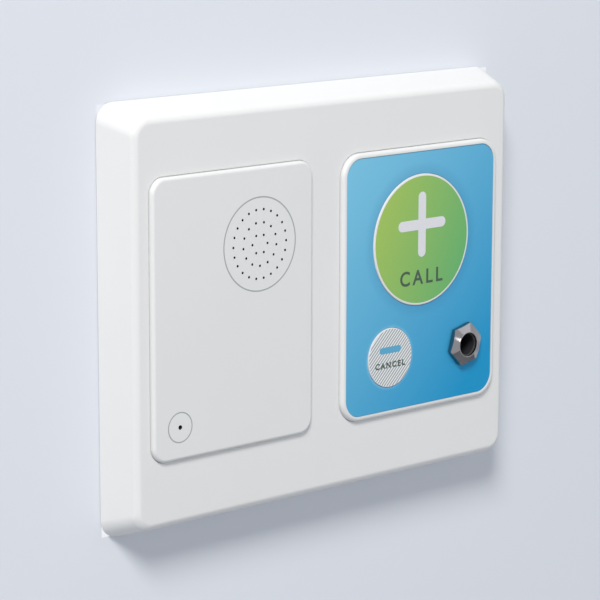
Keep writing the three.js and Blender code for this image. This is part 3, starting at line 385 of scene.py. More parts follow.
def turned(name, points, x=0.0, z=0.0, sides=96, through=False):
    """A round form drawn out along (radius, y) points. With through, it closes on itself."""
    (radius, y), rest = points[0], points[1:]
    deselect()
    bpy.ops.mesh.primitive_circle_add(
        vertices=sides, radius=radius, fill_type="NGON", location=(x, y, z), rotation=(math.pi / 2, 0, 0)
    )
    piece = settle(name)
    if through:
        rest = rest + [points[0]]
    with Edit(piece):
        bpy.ops.mesh.select_mode(type="FACE")
        bpy.ops.mesh.select_all(action="SELECT")
        for next_radius, next_y in rest:
            bpy.ops.mesh.extrude_region_move(TRANSFORM_OT_translate={"value": (0, next_y - y, 0)})
            if not near(next_radius, radius, 1e-8):
                part = next_radius / radius
                bpy.ops.transform.resize(value=(part, 1, part), center_override=(x, next_y, z))
            radius, y = next_radius, next_y
        if through:
            bpy.ops.mesh.delete(type="ONLY_FACE")
    if through:
        with Edit(piece) as edit:
            caps = [f.index for f in piece.data.polygons if len(f.vertices) == sides]
            if caps:
                edit.faces(lambda face: len(face.verts) == sides)
                bpy.ops.mesh.delete(type="ONLY_FACE")
            bpy.ops.mesh.select_all(action="SELECT")
            bpy.ops.mesh.remove_doubles(threshold=1e-7)
    return outward(piece)


def outward(piece):
    with Edit(piece):
        bpy.ops.mesh.select_all(action="SELECT")
        bpy.ops.mesh.normals_make_consistent(inside=False)
    return piece


def modify(piece, kind, **values):
    """Adds a modifier, sets it and applies it."""
    take(piece)
    modifier = piece.modifiers.new(kind.lower(), kind)
    for key, value in values.items():
        setattr(modifier, key, value)
    bpy.ops.object.modifier_apply(modifier=modifier.name)
    return piece


def combine(piece, other, operation):
    modify(piece, "BOOLEAN", object=other, operation=operation, solver="EXACT")
    bpy.data.objects.remove(other)
    return piece


def carve(piece, *cutters):
    for cutter in cutters:
        combine(piece, cutter, "DIFFERENCE")
    return piece


def fuse(piece, *others):
    for other in others:
        combine(piece, other, "UNION")
    return piece


def copies(piece, places):
    """Copies of a piece, each with its own mesh, moved by the given steps."""
    made = []
    for place in places:
        take(piece)
        bpy.ops.object.duplicate()
        copy = bpy.context.view_layer.objects.active
        copy.location = place
        take(copy)
        bpy.ops.object.transform_apply(location=True, rotation=True, scale=True)
        made.append(copy)
    return made


def gather(pieces, name):
    """One piece from several that don't touch."""
    take(*pieces)
    if len(pieces) > 1:
        bpy.ops.object.join()
    piece = bpy.context.view_layer.objects.active
    piece.name = name
    piece.data.name = name
    return piece


def repeat(piece, places, name):
    """Copies a piece to its places, as one piece, and drops the one at the origin."""
    repeated = gather(copies(piece, places), name)
    bpy.data.objects.remove(piece)
    return repeated


def turn(piece, angle, x, z):
    """Turns a piece in the plane of the wall, about a point."""
    take(piece)
    spin = Matrix.Rotation(angle, 4, "Y")
    middle = Matrix.Translation((x, 0, z))
    piece.data.transform(middle @ spin @ middle.inverted())
    return piece


def finish_surface(piece, angle=30):
    """Smooth shading with crisp corners and clean flats."""
    take(piece)
    bpy.ops.object.shade_smooth_by_angle(angle=math.radians(angle))
    return modify(piece, "WEIGHTED_NORMAL", mode="FACE_AREA", keep_sharp=True, weight=90)


def put(piece, body, slot, *nodes):
    """Gives a finished piece its body and hides the solids it stands for. The slot is not used."""
    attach(piece, body)
    if nodes:
        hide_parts(*nodes)
    return piece


def dress(piece, *materials):
    piece.data.materials.clear()
    for material in materials:
        piece.data.materials.append(material)
    return piece


def paint(piece, index, test):
    """Gives the faces that pass a test another of the piece's finishes."""
    for face in piece.data.polygons:
        if test(face):
            face.material_index = index


# Finishes


class Finish:
    """A material's node tree, built a few nodes at a time."""

    def __init__(self, name):
        self.material = bpy.data.materials.new(name)
        self.material.use_nodes = True
        self.tree = self.material.node_tree
        self.shader = self.tree.nodes["Principled BSDF"]
        self.place = self.add("ShaderNodeTexCoord").outputs["Object"]

    def add(self, kind, **values):
        node = self.tree.nodes.new(kind)
        for key, value in values.items():
            setattr(node, key, value)
        return node

    def link(self, source, target):
        self.tree.links.new(source, target)

    def set(self, **values):
        for key, value in values.items():
            socket = self.shader.inputs[key.replace("_", " ")]
            if hasattr(value, "__len__"):
                value = (*value, 1.0)[:4]
            socket.default_value = value
        return self

    def colour(self, source):
        self.link(source, self.shader.inputs["Base Color"])

    def noise(self, scale, detail=3.0, roughness=0.5, source=None):
        node = self.add("ShaderNodeTexNoise")
        node.inputs["Scale"].default_value = scale
        node.inputs["Detail"].default_value = detail
        node.inputs["Roughness"].default_value = roughness
        self.link(source or self.place, node.inputs["Vector"])
        return node.outputs["Fac"]

    def moved(self, location=(0, 0, 0), rotation=(0, 0, 0), scale=(1, 1, 1)):
        node = self.add("ShaderNodeMapping", vector_type="POINT")
        node.inputs["Location"].default_value = location
        node.inputs["Rotation"].default_value = rotation
        node.inputs["Scale"].default_value = scale
        self.link(self.place, node.inputs["Vector"])
        return node.outputs["Vector"]

    def math(self, operation, a, b=0.0, clamp=False):
        node = self.add("ShaderNodeMath", operation=operation, use_clamp=clamp)
        for socket, value in zip(node.inputs, (a, b)):
            if isinstance(value, bpy.types.NodeSocket):
                self.link(value, socket)
            else:
                socket.default_value = value
        return node.outputs[0]

    def ramp(self, source, low, high, start=0.0, end=1.0):
        node = self.add("ShaderNodeMapRange")
        node.inputs["From Min"].default_value = start
        node.inputs["From Max"].default_value = end
        node.inputs["To Min"].default_value = low
        node.inputs["To Max"].default_value = high
        self.link(source, node.inputs["Value"])
        return node.outputs[0]

    def mix(self, share, a, b, kind="MIX"):
        node = self.add("ShaderNodeMix", data_type="RGBA", blend_type=kind)
        for socket, value in zip((node.inputs[0], node.inputs[6], node.inputs[7]), (share, a, b)):
            if isinstance(value, bpy.types.NodeSocket):
                self.link(value, socket)
            elif hasattr(value, "__len__"):
                socket.default_value = (*value, 1.0)[:4]
            else:
                socket.default_value = value
        return node.outputs[2]

    def axis(self, name):
        node = self.add("ShaderNodeSeparateXYZ")
        self.link(self.place, node.inputs[0])
        return node.outputs[name]

    def distance(self, x, z):
        """Distance from an axis through the wall, in metres."""
        flat = self.moved(location=(-x, 0, -z))
        node = self.add("ShaderNodeSeparateXYZ")
        self.link(flat, node.inputs[0])
        squares = [self.math("MULTIPLY", node.outputs[k], node.outputs[k]) for k in ("X", "Z")]
        return self.math("SQRT", self.math("ADD", *squares))

    def bump(self, height, strength, distance=1.0 * MM):
        node = self.add("ShaderNodeBump")
        node.inputs["Strength"].default_value = strength
        node.inputs["Distance"].default_value = distance
        self.link(height, node.inputs["Height"])
        self.link(node.outputs[0], self.shader.inputs["Normal"])
        return self

    def roughness(self, source, low, high):
        self.link(self.ramp(source, low, high), self.shader.inputs["Roughness"])
        return self


def moulding(name, colour_value, low=0.38, high=0.5, grain=900, depth=0.05):
    """Moulded plastic: a faint uneven tone, satin gloss and a very fine spark-eroded grain."""
    finish = Finish(name)
    finish.set(IOR=1.46)
    tone = finish.noise(35, 2.0)
    darker = [c * 0.965 for c in colour_value]
    finish.colour(finish.mix(tone, darker, colour_value))
    finish.roughness(finish.noise(220, 3.0), low, high)
    finish.bump(finish.noise(grain * 2, 4.0, 0.6), depth, 0.05 * MM)
    return finish.material


def metal(name, colour_value, low, high, grain=400, streak=1.0):
    finish = Finish(name)
    finish.set(Metallic=1.0)
    drawn = finish.moved(scale=(1.0, streak, 1.0))
    tone = finish.noise(grain, 3.0, source=drawn)
    darker = [c * 0.86 for c in colour_value]
    finish.colour(finish.mix(tone, darker, colour_value))
    finish.roughness(finish.noise(grain * 2, 2.0, source=drawn), low, high)
    finish.bump(finish.noise(grain * 3, 2.0, source=drawn), 0.04, 0.03 * MM)
    return finish.material


def fascia_film(colours):
    """Blue film, deeper towards the bottom right, with painted shade round the call key and a painted
    highlight round the cancel key.
    """
    finish = Finish("blue_film")
    finish.set(IOR=1.5, Specular_IOR_Level=0.18)
    across = finish.ramp(finish.axis("X"), 0.0, 1.0, CALL_MID.x - 34 * MM, CALL_MID.x + 34 * MM)
    down = finish.ramp(finish.axis("Z"), 1.0, 0.0, CALL_MID.z - 42 * MM, CALL_MID.z + 42 * MM)
    share = finish.math(
        "ADD", finish.math("MULTIPLY", across, 0.45), finish.math("MULTIPLY", down, 0.55)
    )
    share = finish.ramp(share, 0.0, 1.0, 0.0, 0.88)
    blue = finish.mix(share, colours.blue_light, colours.blue_deep)
    # Painted shade: darker blue round the call key, fading out between 21 and 25 mm from its middle.
    from_call_key = finish.distance(CALL_KEY_MID.x, CALL_KEY_MID.z)
    shade = finish.ramp(from_call_key, 0.22, 0.0, 21 * MM, 25 * MM)
    blue = finish.mix(shade, blue, (0.01, 0.12, 0.30))
    # Painted highlight: lighter blue in a 1 mm ring just outside the cancel key's hole.
    from_cancel_key = finish.distance(CANCEL_KEY_MID.x, CANCEL_KEY_MID.z)
    painted_highlight = finish.ramp(from_cancel_key, 0.55, 0.0, CANCEL_KEY_HOLE, CANCEL_KEY_HOLE + MM)
    blue = finish.mix(painted_highlight, blue, (0.25, 0.56, 0.78))
    speck = finish.noise(2500, 2.0)
    blue = finish.mix(finish.ramp(speck, 0.0, 0.02), blue, (0.9, 0.95, 1.0))
    finish.colour(blue)
    finish.roughness(finish.noise(300, 2.0), 0.36, 0.46)
    finish.bump(finish.noise(3000, 2.0), 0.05, 0.03 * MM)
    return finish.material


def green_film(colours):
    finish = Finish("green_film")
    finish.set(IOR=1.5)
    x, z = CALL_KEY_MID.x, CALL_KEY_MID.z
    across = finish.ramp(finish.axis("X"), 0.0, 1.0, x - 20 * MM, x + 20 * MM)
    down = finish.ramp(finish.axis("Z"), 1.0, 0.0, z - 20 * MM, z + 20 * MM)
    share = finish.math(
        "ADD", finish.math("MULTIPLY", across, 0.7), finish.math("MULTIPLY", down, 0.3)
    )
    green = finish.mix(share, colours.green_light, colours.green_deep)
    speck = finish.noise(2600, 2.0)
    green = finish.mix(finish.ramp(speck, 0.0, 0.08), green, (0.85, 0.95, 0.7))
    finish.colour(green)
    finish.roughness(finish.noise(300, 2.0), 0.4, 0.5)
    finish.bump(finish.noise(3000, 2.0), 0.05, 0.03 * MM)
    return finish.material


def hatched_key(colours):
    """Pale key face with fine moulded lines that run down to the right."""
    finish = Finish("hatched_key")
    finish.set(IOR=1.46)
    turned_place = finish.moved(
        location=(-CANCEL_KEY_MID.x, 0, -CANCEL_KEY_MID.z), rotation=(0, math.radians(45), 0)
    )
    split = finish.add("ShaderNodeSeparateXYZ")
    finish.link(turned_place, split.inputs[0])
    pitch = 0.92 * MM
    wave = finish.math("SINE", finish.math("MULTIPLY", split.outputs["Z"], 2 * math.pi / pitch))
    line = finish.ramp(wave, 0.0, 1.0, -0.3, 0.7)
    tone = finish.mix(line, (0.37, 0.40, 0.42), (0.90, 0.91, 0.90))
    finish.colour(tone)
    finish.roughness(finish.noise(300, 2.0), 0.42, 0.52)
    finish.bump(line, 0.25, 0.06 * MM)
    return finish.material


def circuit_resist():
    """Green solder resist with faint copper runs beneath it."""
    finish = Finish("solder_resist")
    cells = finish.add("ShaderNodeTexVoronoi", distance="CHEBYCHEV", feature="F1")
    cells.inputs["Scale"].default_value = 420
    finish.link(finish.place, cells.inputs["Vector"])
    runs = finish.ramp(cells.outputs["Distance"], 0.0, 1.0, 0.30, 0.34)
    tone = finish.mix(runs, (0.02, 0.15, 0.05), (0.045, 0.27, 0.09))
    finish.colour(tone)
    finish.roughness(finish.noise(500, 2.0), 0.28, 0.4)
    finish.bump(runs, 0.3, 0.05 * MM)
    return finish.material


def cone_paper():
    finish = Finish("pressed_paper")
    fibre = finish.noise(1400, 6.0, 0.7)
    tone = finish.mix(fibre, (0.03, 0.03, 0.032), (0.075, 0.072, 0.07))
    finish.colour(tone)
    finish.roughness(fibre, 0.7, 0.95)
    finish.bump(fibre, 0.5, 0.15 * MM)
    return finish.material


def ink(name, colour_value):
    """Screen-printed ink, a little uneven."""
    finish = Finish(name)
    tone = finish.noise(1800, 3.0)
    darker = [c * 0.88 for c in colour_value]
    finish.colour(finish.mix(tone, darker, colour_value))
    finish.roughness(finish.noise(900, 2.0), 0.45, 0.6)
    finish.bump(tone, 0.05, 0.02 * MM)
    return finish.material


FINISHES = {}


def finish_named(name):
    if name not in FINISHES:
        colours = bpy.context.scene.call_socket_colours
        makers = {
            "plate": lambda: moulding("satin_white", colours.plate),
            "cover": lambda: moulding("satin_cover", colours.cover, 0.36, 0.46),
            "rear": lambda: moulding("rear_moulding", (0.72, 0.73, 0.735), 0.45, 0.6, 700, 0.12),
            "inner": lambda: moulding("inner_moulding", (0.66, 0.67, 0.68), 0.5, 0.62, 600, 0.12),
            "black": lambda: moulding("black_moulding", (0.025, 0.025, 0.028), 0.35, 0.5, 700, 0.1),
            "plunger": lambda: moulding("acetal", (0.74, 0.74, 0.73), 0.3, 0.4),
            "rubber": lambda: moulding("soft_rubber", (0.028, 0.028, 0.03), 0.7, 0.88, 500, 0.25),
            "terminal": lambda: moulding("green_moulding", (0.05, 0.33, 0.12), 0.4, 0.52),
            "film": lambda: fascia_film(colours),
            "green": lambda: green_film(colours),
            "hatch": lambda: hatched_key(colours),
            "paper": cone_paper,
            "board": circuit_resist,
            "chrome": lambda: metal("chrome_plate", (0.30, 0.29, 0.295), 0.05, 0.13, 250),
            "steel": lambda: metal("zinc_plate", (0.62, 0.63, 0.65), 0.28, 0.42, 350),
            "brass": lambda: metal("bronze_leaf", (0.78, 0.58, 0.27), 0.22, 0.36, 350),
            "legend": lambda: ink("dark_ink", colours.legend),
            "sign": lambda: ink("pale_ink", colours.sign),
            "minus": lambda: ink("blue_ink", colours.minus),
            "line": lambda: ink("grey_ink", (0.40, 0.41, 0.42)),
        }
        FINISHES[name] = makers[name]()
    return FINISHES[name]


def complete(piece, finish, body, slot, *nodes, angle=30):
    """Shades a piece, gives it its finish and hands it to its body."""
    finish_surface(piece, angle)
    dress(piece, finish_named(finish))
    return put(piece, body, slot, *nodes)


def print_on(piece, body, finish, slot):
    """Finishes a thin print and lets it ride with what carries it."""
    dress(piece, finish_named(finish))
    return put(piece, body, slot)


# Shared forms


def corner_places(middle, width, height):
    """Where a module's four screws stand."""
    dx, dz = width / 2 - POST_INSET, height / 2 - POST_INSET
    return [(middle.x + i * dx, 0, middle.z + k * dz) for i in (-1, 1) for k in (-1, 1)]


def module_shell(name, middle, width, height, corner, floor, face):
    """A module's cover: tray, holding flange and four screw posts."""
    _, sizes, _ = settings()
    back = COVER_BACK
    x, z = middle.x, middle.z
    shell = plate(name, width, height, corner, face, back, x, z, 14)
    round_edges(shell, edge_at_y(face), sizes.edge, 5)

    def widened(part, reach, y0, y1, steps):
        return plate(part, width + 2 * reach, height + 2 * reach, corner + reach, y0, y1, x, z, steps)

    fuse(shell, widened("flange", FLANGE, back - FLANGE_THICK, back, 14))
    carve(shell, widened("inside", -sizes.wall, floor, back + OVER, 12))
    post = turned(
        "post",
        [
            (POST_RADIUS, floor - ROOT),
            (POST_RADIUS, POST_END - POST_CHAMFER),
            (POST_RADIUS - POST_CHAMFER, POST_END),
            (PILOT_RADIUS, POST_END),
            (PILOT_RADIUS, floor + PILOT_FLOOR),
        ],
        sides=32,
    )
    return fuse(shell, repeat(post, corner_places(middle, width, height), "posts"))


def key_body(radius, face, back, stem):
    """A key's outline behind its rounded edge: skirt, flange, hollow and stem."""
    flange, hollow, web = radius + KEY_FLANGE, radius - KEY_WALL, face + KEY_WEB
    return [
        (radius, face + KEY_ROUND),
        (radius, KEY_FLANGE_FRONT),
        (flange, KEY_FLANGE_FRONT),
        (flange, KEY_FLANGE_BACK),
        (hollow, KEY_FLANGE_BACK),
        (hollow, web),
        (stem, web),
        (stem, back - STEM_CHAMFER),
        (stem - STEM_CHAMFER, back),
    ]


def key_cap(name, points, middle, sides, finish):
    """Turns a key and gives its face another finish than its sides."""
    key = turned(name, points, middle.x, middle.z, sides)
    finish_surface(key, 25)
    dress(key, finish_named("cover"), finish_named(finish))
    paint(key, 1, lambda f: len(f.vertices) == sides and f.normal.y < -0.9)
    return key


def cross_recess(x, z, head, size, depth, side):
    """The cutter for a cross recess in a screw's head."""
    low, high = sorted((head, head + side * depth))
    over = 0.5 * MM
    if side > 0:
        low -= over
    else:
        high += over
    arms = []
    for half_x, half_z in ((size, size * 0.24), (size * 0.24, size)):
        arm = block("arm", (x - half_x, low, z - half_z), (x + half_x, high, z + half_z))
        deep = high if side > 0 else low
        with Edit(arm) as edit:
            edit.faces(at_y(deep))
            bpy.ops.transform.resize(value=(0.5, 1, 0.5), center_override=(x, deep, z))
        arms.append(arm)
    return fuse(arms[0], arms[1])


def thread_points(radius, depth, start, end, pitch):
    """A screw thread's outline between two depths, as (radius, y) points."""
    points = []
    turns = max(1, round(abs(end - start) / pitch))
    step = (end - start) / turns
    for i in range(turns):
        y = start + i * step
        points += [
            (radius - depth, y + step * 0.08),
            (radius, y + step * 0.5),
            (radius - depth, y + step * 0.92),
        ]
    return points


# Pieces


class CALLSOCKET_OT_frame(bpy.types.Operator):
    """Moulds the front frame with its two apertures, collars, ribs and clip arms"""

    bl_idname = "call_socket.frame"
    bl_label = "Front frame"

    def execute(self, context):
        sizes, modules, _ = settings()
        width, depth, height = FRAME_SIZE
        front = -depth
        floor = front + sizes.wall
        shell = plate("frame_moulding", width, height, sizes.corner, front, 0.0, steps=18)
        with Edit(shell) as edit:
            edit.faces(at_y(front))
            part = (1 - 2 * sizes.slant / width, 1, 1 - 2 * sizes.slant / height)
            bpy.ops.transform.resize(value=part, center_override=(0, front, 0))
        round_edges(shell, edge_at_y(front), sizes.front_inset - sizes.slant, 12)
        with Edit(shell) as edit:
            edit.faces(at_y(0.0))
            bpy.ops.mesh.inset(thickness=sizes.wall, depth=0)
            bpy.ops.mesh.extrude_region_move(TRANSFORM_OT_translate={"value": (0, floor, 0)})
            lean = 2 * sizes.slant * floor / front
            part = (1 - lean / (width - 2 * sizes.wall), 1, 1 - lean / (height - 2 * sizes.wall))
            bpy.ops.transform.resize(value=part, center_override=(0, floor, 0))
        outward(shell)
        tall = SPEECH_SIZE.z - 2 * FLANGE
        bays = [
            (SPEECH_MID, SPEECH_SIZE.x - 2 * FLANGE, modules.speech_corner),
            (CALL_MID, CALL_SIZE.x - 2 * FLANGE, modules.call_corner),
        ]

        def around(name, bay, reach, y0, y1, steps):
            middle, wide, corner = bay
            x, z = middle.x, middle.z
            return plate(
                name, wide + 2 * reach, tall + 2 * reach, corner + reach, y0, y1, x, z, steps
            )

        reach = sizes.clearance + sizes.collar
        for bay in bays:
            fuse(shell, around("collar", bay, reach, front + sizes.wall / 2, COLLAR_END, 12))
        for bay in bays:
            carve(shell, around("bay", bay, sizes.clearance, front - OVER, COLLAR_END + OVER, 14))

        def aperture_edge(edge):
            rim = sizes.front_inset + OVER
            inside = all(
                abs(v.co.x) < width / 2 - rim and abs(v.co.z) < height / 2 - rim
                for v in edge.verts
            )
            if not inside or not edge_at_y(front)(edge) or len(edge.link_faces) != 2:
                return False
            one, other = (face.normal.y for face in edge.link_faces)
            return abs(one - other) > 0.5

        round_edges(shell, aperture_edge, sizes.lip, 3)
        reach = tall / 2 + sizes.clearance + sizes.collar / 2
        top, bottom = SPEECH_MID.z + reach, SPEECH_MID.z - reach
        rim = height / 2 - RIB_INSET
        root = floor - ROOT
        ribs = [
            block("rib", (x - RIB_HALF, root, start), (x + RIB_HALF, root + RIB_DEPTH, end))
            for middle, wide, _corner in bays
            for x in (middle.x - wide / 4, middle.x + wide / 4)
            for start, end in ((top, rim), (-rim, bottom))
        ]
        fuse(shell, gather(ribs, "ribs"))
        outer = BRACKET_SIZE.z / 2 - EAR_INSET - EAR_HALF - ARM_GAP
        arms = []
        for middle, _wide, _corner in bays:
            left, right = middle.x - ARM_HALF_WIDTH, middle.x + ARM_HALF_WIDTH
            for side in (-1, 1):
                low, high = sorted((side * (outer - ARM_THICK), side * outer))
                arm = block("arm", (left, root, low), (right, ARM_END, high))
                far = side * (outer + BARB_REACH)
                low, high = sorted((side * (outer - ROOT), far))
                barb = block("barb", (left, BARB_FRONT, low), (right, BARB_BACK, high))
                round_edges(barb, lambda e: all(near(v.co.z, far) for v in e.verts), BARB_EDGE, 2)
                arms.append(fuse(arm, barb))
        fuse(shell, gather(arms, "arms"))
        complete(shell, "plate", "socket", "white_plastic", "front_frame")
        return {"FINISHED"}


class CALLSOCKET_OT_speech_cover(bpy.types.Operator):
    """Moulds the speech cover with its pinhole grille, and prints the rings on it"""

    bl_idname = "call_socket.speech_cover"
    bl_label = "Speech cover"

    def execute(self, context):
        _, sizes, _ = settings()
        width, height = SPEECH_SIZE.x - 2 * FLANGE, SPEECH_SIZE.z - 2 * FLANGE
        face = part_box("speech_cover")[0].y
        floor = face + SPEECH_FACE
        shell = module_shell(
            "speech_cover_moulding", SPEECH_MID, width, height, sizes.speech_corner, floor, face
        )
        seats, rooms = [], []
        for middle, seat, room, sides in (
            (SPEAKER_MID, SPEAKER_SEAT, SPEAKER_ROOM, 64),
            (MIC_MID, MIC_SEAT, MIC_ROOM, 48),
        ):
            x, z = middle.x, middle.z
            seats.append(rod("seat", seat, floor - ROOT, floor + SEAT_RISE, x, z, sides))
            rooms.append(rod("room", room, floor, floor + ROOM_DEPTH, x, z, sides))
        for i in (1, 2):
            middle = extent(f"retainer_screw_{i}")[0]
            seats.append(rod("boss", BOSS_RADIUS, floor - ROOT, BOSS_END, middle.x, middle.z, 32))
        fuse(shell, *seats)
        carve(shell, *rooms)
        start, end = face - OVER / 2, floor + OVER / 2
        places = []
        for radius, count, first in GRILLE_RINGS:
            for i in range(count):
                angle = math.radians(first) + 2 * math.pi * i / count
                across, up = radius * math.cos(angle), radius * math.sin(angle)
                places.append((SPEAKER_MID.x + across, 0, SPEAKER_MID.z + up))
        holes = repeat(rod("hole", sizes.pinhole, start, end, sides=16), places, "holes")
        mic_hole = rod("hole", MIC_HOLE, start, end, MIC_MID.x, MIC_MID.z, 24)
        carve(shell, holes, mic_hole)
        finish_surface(shell)
        dress(shell, finish_named("cover"), finish_named("black"))
        bores = [(x, z, sizes.pinhole) for x, _y, z in places]
        bores.append((MIC_MID.x, MIC_MID.z, MIC_HOLE))

        def painted_shade_bore_wall(face_of_shell):
            spot = face_of_shell.center
            if abs(face_of_shell.normal.y) > 0.1 or not face < spot.y < floor:
                return False
            return any(math.hypot(spot.x - x, spot.z - z) < r + 0.03 * MM for x, z, r in bores)

        # Painted shade: the walls of the pinholes and the microphone hole take the black finish.
        paint(shell, 1, painted_shade_bore_wall)
        put(shell, "socket", "white_plastic", "speech_cover")
        top, under = face - RING_PROUD, face + RING_SUNK
        for name, middle, radius, line in (
            ("grille_ring_print", SPEAKER_MID, sizes.grille_line, sizes.print_line),
            ("microphone_ring_print", MIC_MID, MIC_RING, sizes.print_line * 0.9),
        ):
            inner, outer = radius - line / 2, radius + line / 2
            points = [(inner, top), (outer, top), (outer, under), (inner, under)]
            ring = turned(name, points, middle.x, middle.z, 160, True)
            print_on(ring, "socket", "line", "white_plastic")
        return {"FINISHED"}


class CALLSOCKET_OT_call_cover(bpy.types.Operator):
    """Moulds the call cover, with the pocket for its fascia, and the fascia"""

    bl_idname = "call_socket.call_cover"
    bl_label = "Call cover and fascia"

    def execute(self, context):
        _, sizes, _ = settings()
        width, height = CALL_SIZE.x - 2 * FLANGE, CALL_SIZE.z - 2 * FLANGE
        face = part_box("call_cover")[0].y
        fascia_low, fascia_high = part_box("call_fascia")
        front, back = fascia_low.y, fascia_high.y
        floor = back + FASCIA_GAP
        inner = floor + CALL_FLOOR
        x, z = CALL_MID.x, CALL_MID.z
        shell = module_shell(
            "call_cover_moulding", CALL_MID, width, height, sizes.call_corner, inner, face
        )
        inset = 2 * (sizes.rim - POCKET_SLACK)
        corner = sizes.fascia_corner + POCKET_SLACK
        carve(
            shell,
            plate("pocket", width - inset, height - inset, corner, face - OVER, floor, x, z, 14),
        )

        def open_up(piece, y0, y1):
            for middle, radius, sides in (
                (CALL_KEY_MID, CALL_KEY_HOLE, 128),
                (CANCEL_KEY_MID, CANCEL_KEY_HOLE, 96),
                (BUSH_MID, BUSH_HOLE, 64),
            ):
                carve(piece, rod("opening", radius, y0 - OVER, y1 + OVER, middle.x, middle.z, sides))

        def pocket_edge(edge):
            rim = 1.2 * MM
            inside = all(
                abs(v.co.x - x) < width / 2 - rim and abs(v.co.z - z) < height / 2 - rim
                for v in edge.verts
            )
            return inside and edge_at_y(face)(edge) and len(edge.link_faces) == 2

        open_up(shell, face, inner)
        round_edges(shell, pocket_edge, 0.08 * MM, 2)
        complete(shell, "cover", "socket", "white_plastic", "call_cover")
        film = plate(
            "fascia_film",
            FASCIA_SIZE.x,
            FASCIA_SIZE.z,
            sizes.fascia_corner,
            front,
            back,
            FASCIA_MID.x,
            FASCIA_MID.z,
            14,
        )
        open_up(film, front, back)
        round_edges(film, lambda e: edge_at_y(front)(e) and len(e.link_faces) == 2, 0.1 * MM, 2)
        complete(film, "film", "socket", "blue_fascia", "call_fascia")
        return {"FINISHED"}



def bar(name, x, z, width, height, face, steps=8):
    """A printed bar with round ends."""
    radius = min(width, height) / 2 * 0.995
    return plate(name, width, height, radius, face - PRINT_PROUD, face + PRINT_SUNK, x, z, steps)


def legend(name, text, x, z, letters, wide, face):
    """A word as a thin mesh, centred at a place, set to its height and width by wider spacing."""

    def written(spacing):
        deselect()
        bpy.ops.object.text_add()
        word = bpy.context.view_layer.objects.active
        word.data.body = text
        word.data.align_x = "CENTER"
        word.data.size = letters / CAPITALS
        word.data.space_character = spacing
        word.data.extrude = PRINT_PROUD
        word.data.offset = LETTER_BOLD
        word.data.resolution_u = 6
        take(word)
        bpy.ops.object.convert(target="MESH")
        return bpy.context.view_layer.objects.active

    def measured(word):
        xs = [v.co.x for v in word.data.vertices]
        ys = [v.co.y for v in word.data.vertices]
        return min(xs), max(xs), min(ys), max(ys)

    spacing = 1.0
    word = written(spacing)
    for _ in range(4):
        left, right, _low, _high = measured(word)
        spare = wide - (right - left)
        if abs(spare) < 0.03 * MM:
            break
        spacing += spare / (len(text) - 1) / (letters * 0.82)
        bpy.data.objects.remove(word)
        word = written(spacing)
    left, right, low, high = measured(word)
    tall = letters / (high - low)
    word.data.transform(
        Matrix.Translation((x, face, z))
        @ Euler((math.pi / 2, 0, 0)).to_matrix().to_4x4()
        @ Matrix.Diagonal((1, tall, 1, 1))
        @ Matrix.Translation((-(left + right) / 2, -(low + high) / 2, 0))
    )
    word.name = name
    word.data.name = name
    return word


class CALLSOCKET_OT_call_key(bpy.types.Operator):
    """Shapes the call key and prints its plus sign and word"""

    bl_idname = "call_socket.call_key"
    bl_label = "Call key"

    def execute(self, context):
        _, _, sizes = settings()
        x, z = CALL_KEY_MID.x, CALL_KEY_MID.z
        low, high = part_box("call_key")
        face, radius = low.y, CALL_KEY_SIZE.x / 2 - KEY_FLANGE
        green = radius - sizes.call_ring
        points = [
            (green - 0.05 * MM, face + 0.03 * MM),
            (green, face),
            (radius - 0.35 * MM, face),
            (radius - 0.12 * MM, face + 0.08 * MM),
        ]
        points += key_body(radius, face, high.y, CALL_STEM)
        key = key_cap("call_key_cap", points, CALL_KEY_MID, 160, "green")
        put(key, "call_button", "green_key", "call_key")
        plus_z = z + sizes.plus_rise
        plus = fuse(
            bar("plus_sign", x, plus_z, sizes.plus_span, sizes.plus_bar, face),
            bar("upright", x, plus_z, sizes.plus_bar, sizes.plus_span, face),
        )
        print_on(plus, "call_button", "sign", "green_key")
        word_z = z - CALL_WORD_DROP + sizes.call_letters / 2
        word = legend("call_word", "CALL", x, word_z, sizes.call_letters, sizes.call_word, face)
        print_on(word, "call_button", "legend", "green_key")
        return {"FINISHED"}


class CALLSOCKET_OT_cancel_key(bpy.types.Operator):
    """Shapes the cancel key and prints its minus sign and word"""

    bl_idname = "call_socket.cancel_key"
    bl_label = "Cancel key"

    def execute(self, context):
        _, _, sizes = settings()
        x, z = CANCEL_KEY_MID.x, CANCEL_KEY_MID.z
        low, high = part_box("cancel_key")
        face, radius = low.y, CANCEL_KEY_SIZE.x / 2 - KEY_FLANGE
        points = [(radius - 0.28 * MM, face), (radius - 0.1 * MM, face + 0.08 * MM)]
        points += key_body(radius, face, high.y, CANCEL_STEM)
        key = key_cap("cancel_key_cap", points, CANCEL_KEY_MID, 112, "hatch")
        put(key, "cancel_button", "pale_key", "cancel_key")
        minus = bar("minus_sign", x, z + MINUS_RISE, sizes.minus_span, sizes.minus_bar, face)
        print_on(minus, "cancel_button", "minus", "pale_key")
        word_z = z - CANCEL_WORD_DROP
        word = legend(
            "cancel_word", "CANCEL", x, word_z, sizes.cancel_letters, sizes.cancel_word, face
        )
        print_on(word, "cancel_button", "legend", "pale_key")
        return {"FINISHED"}


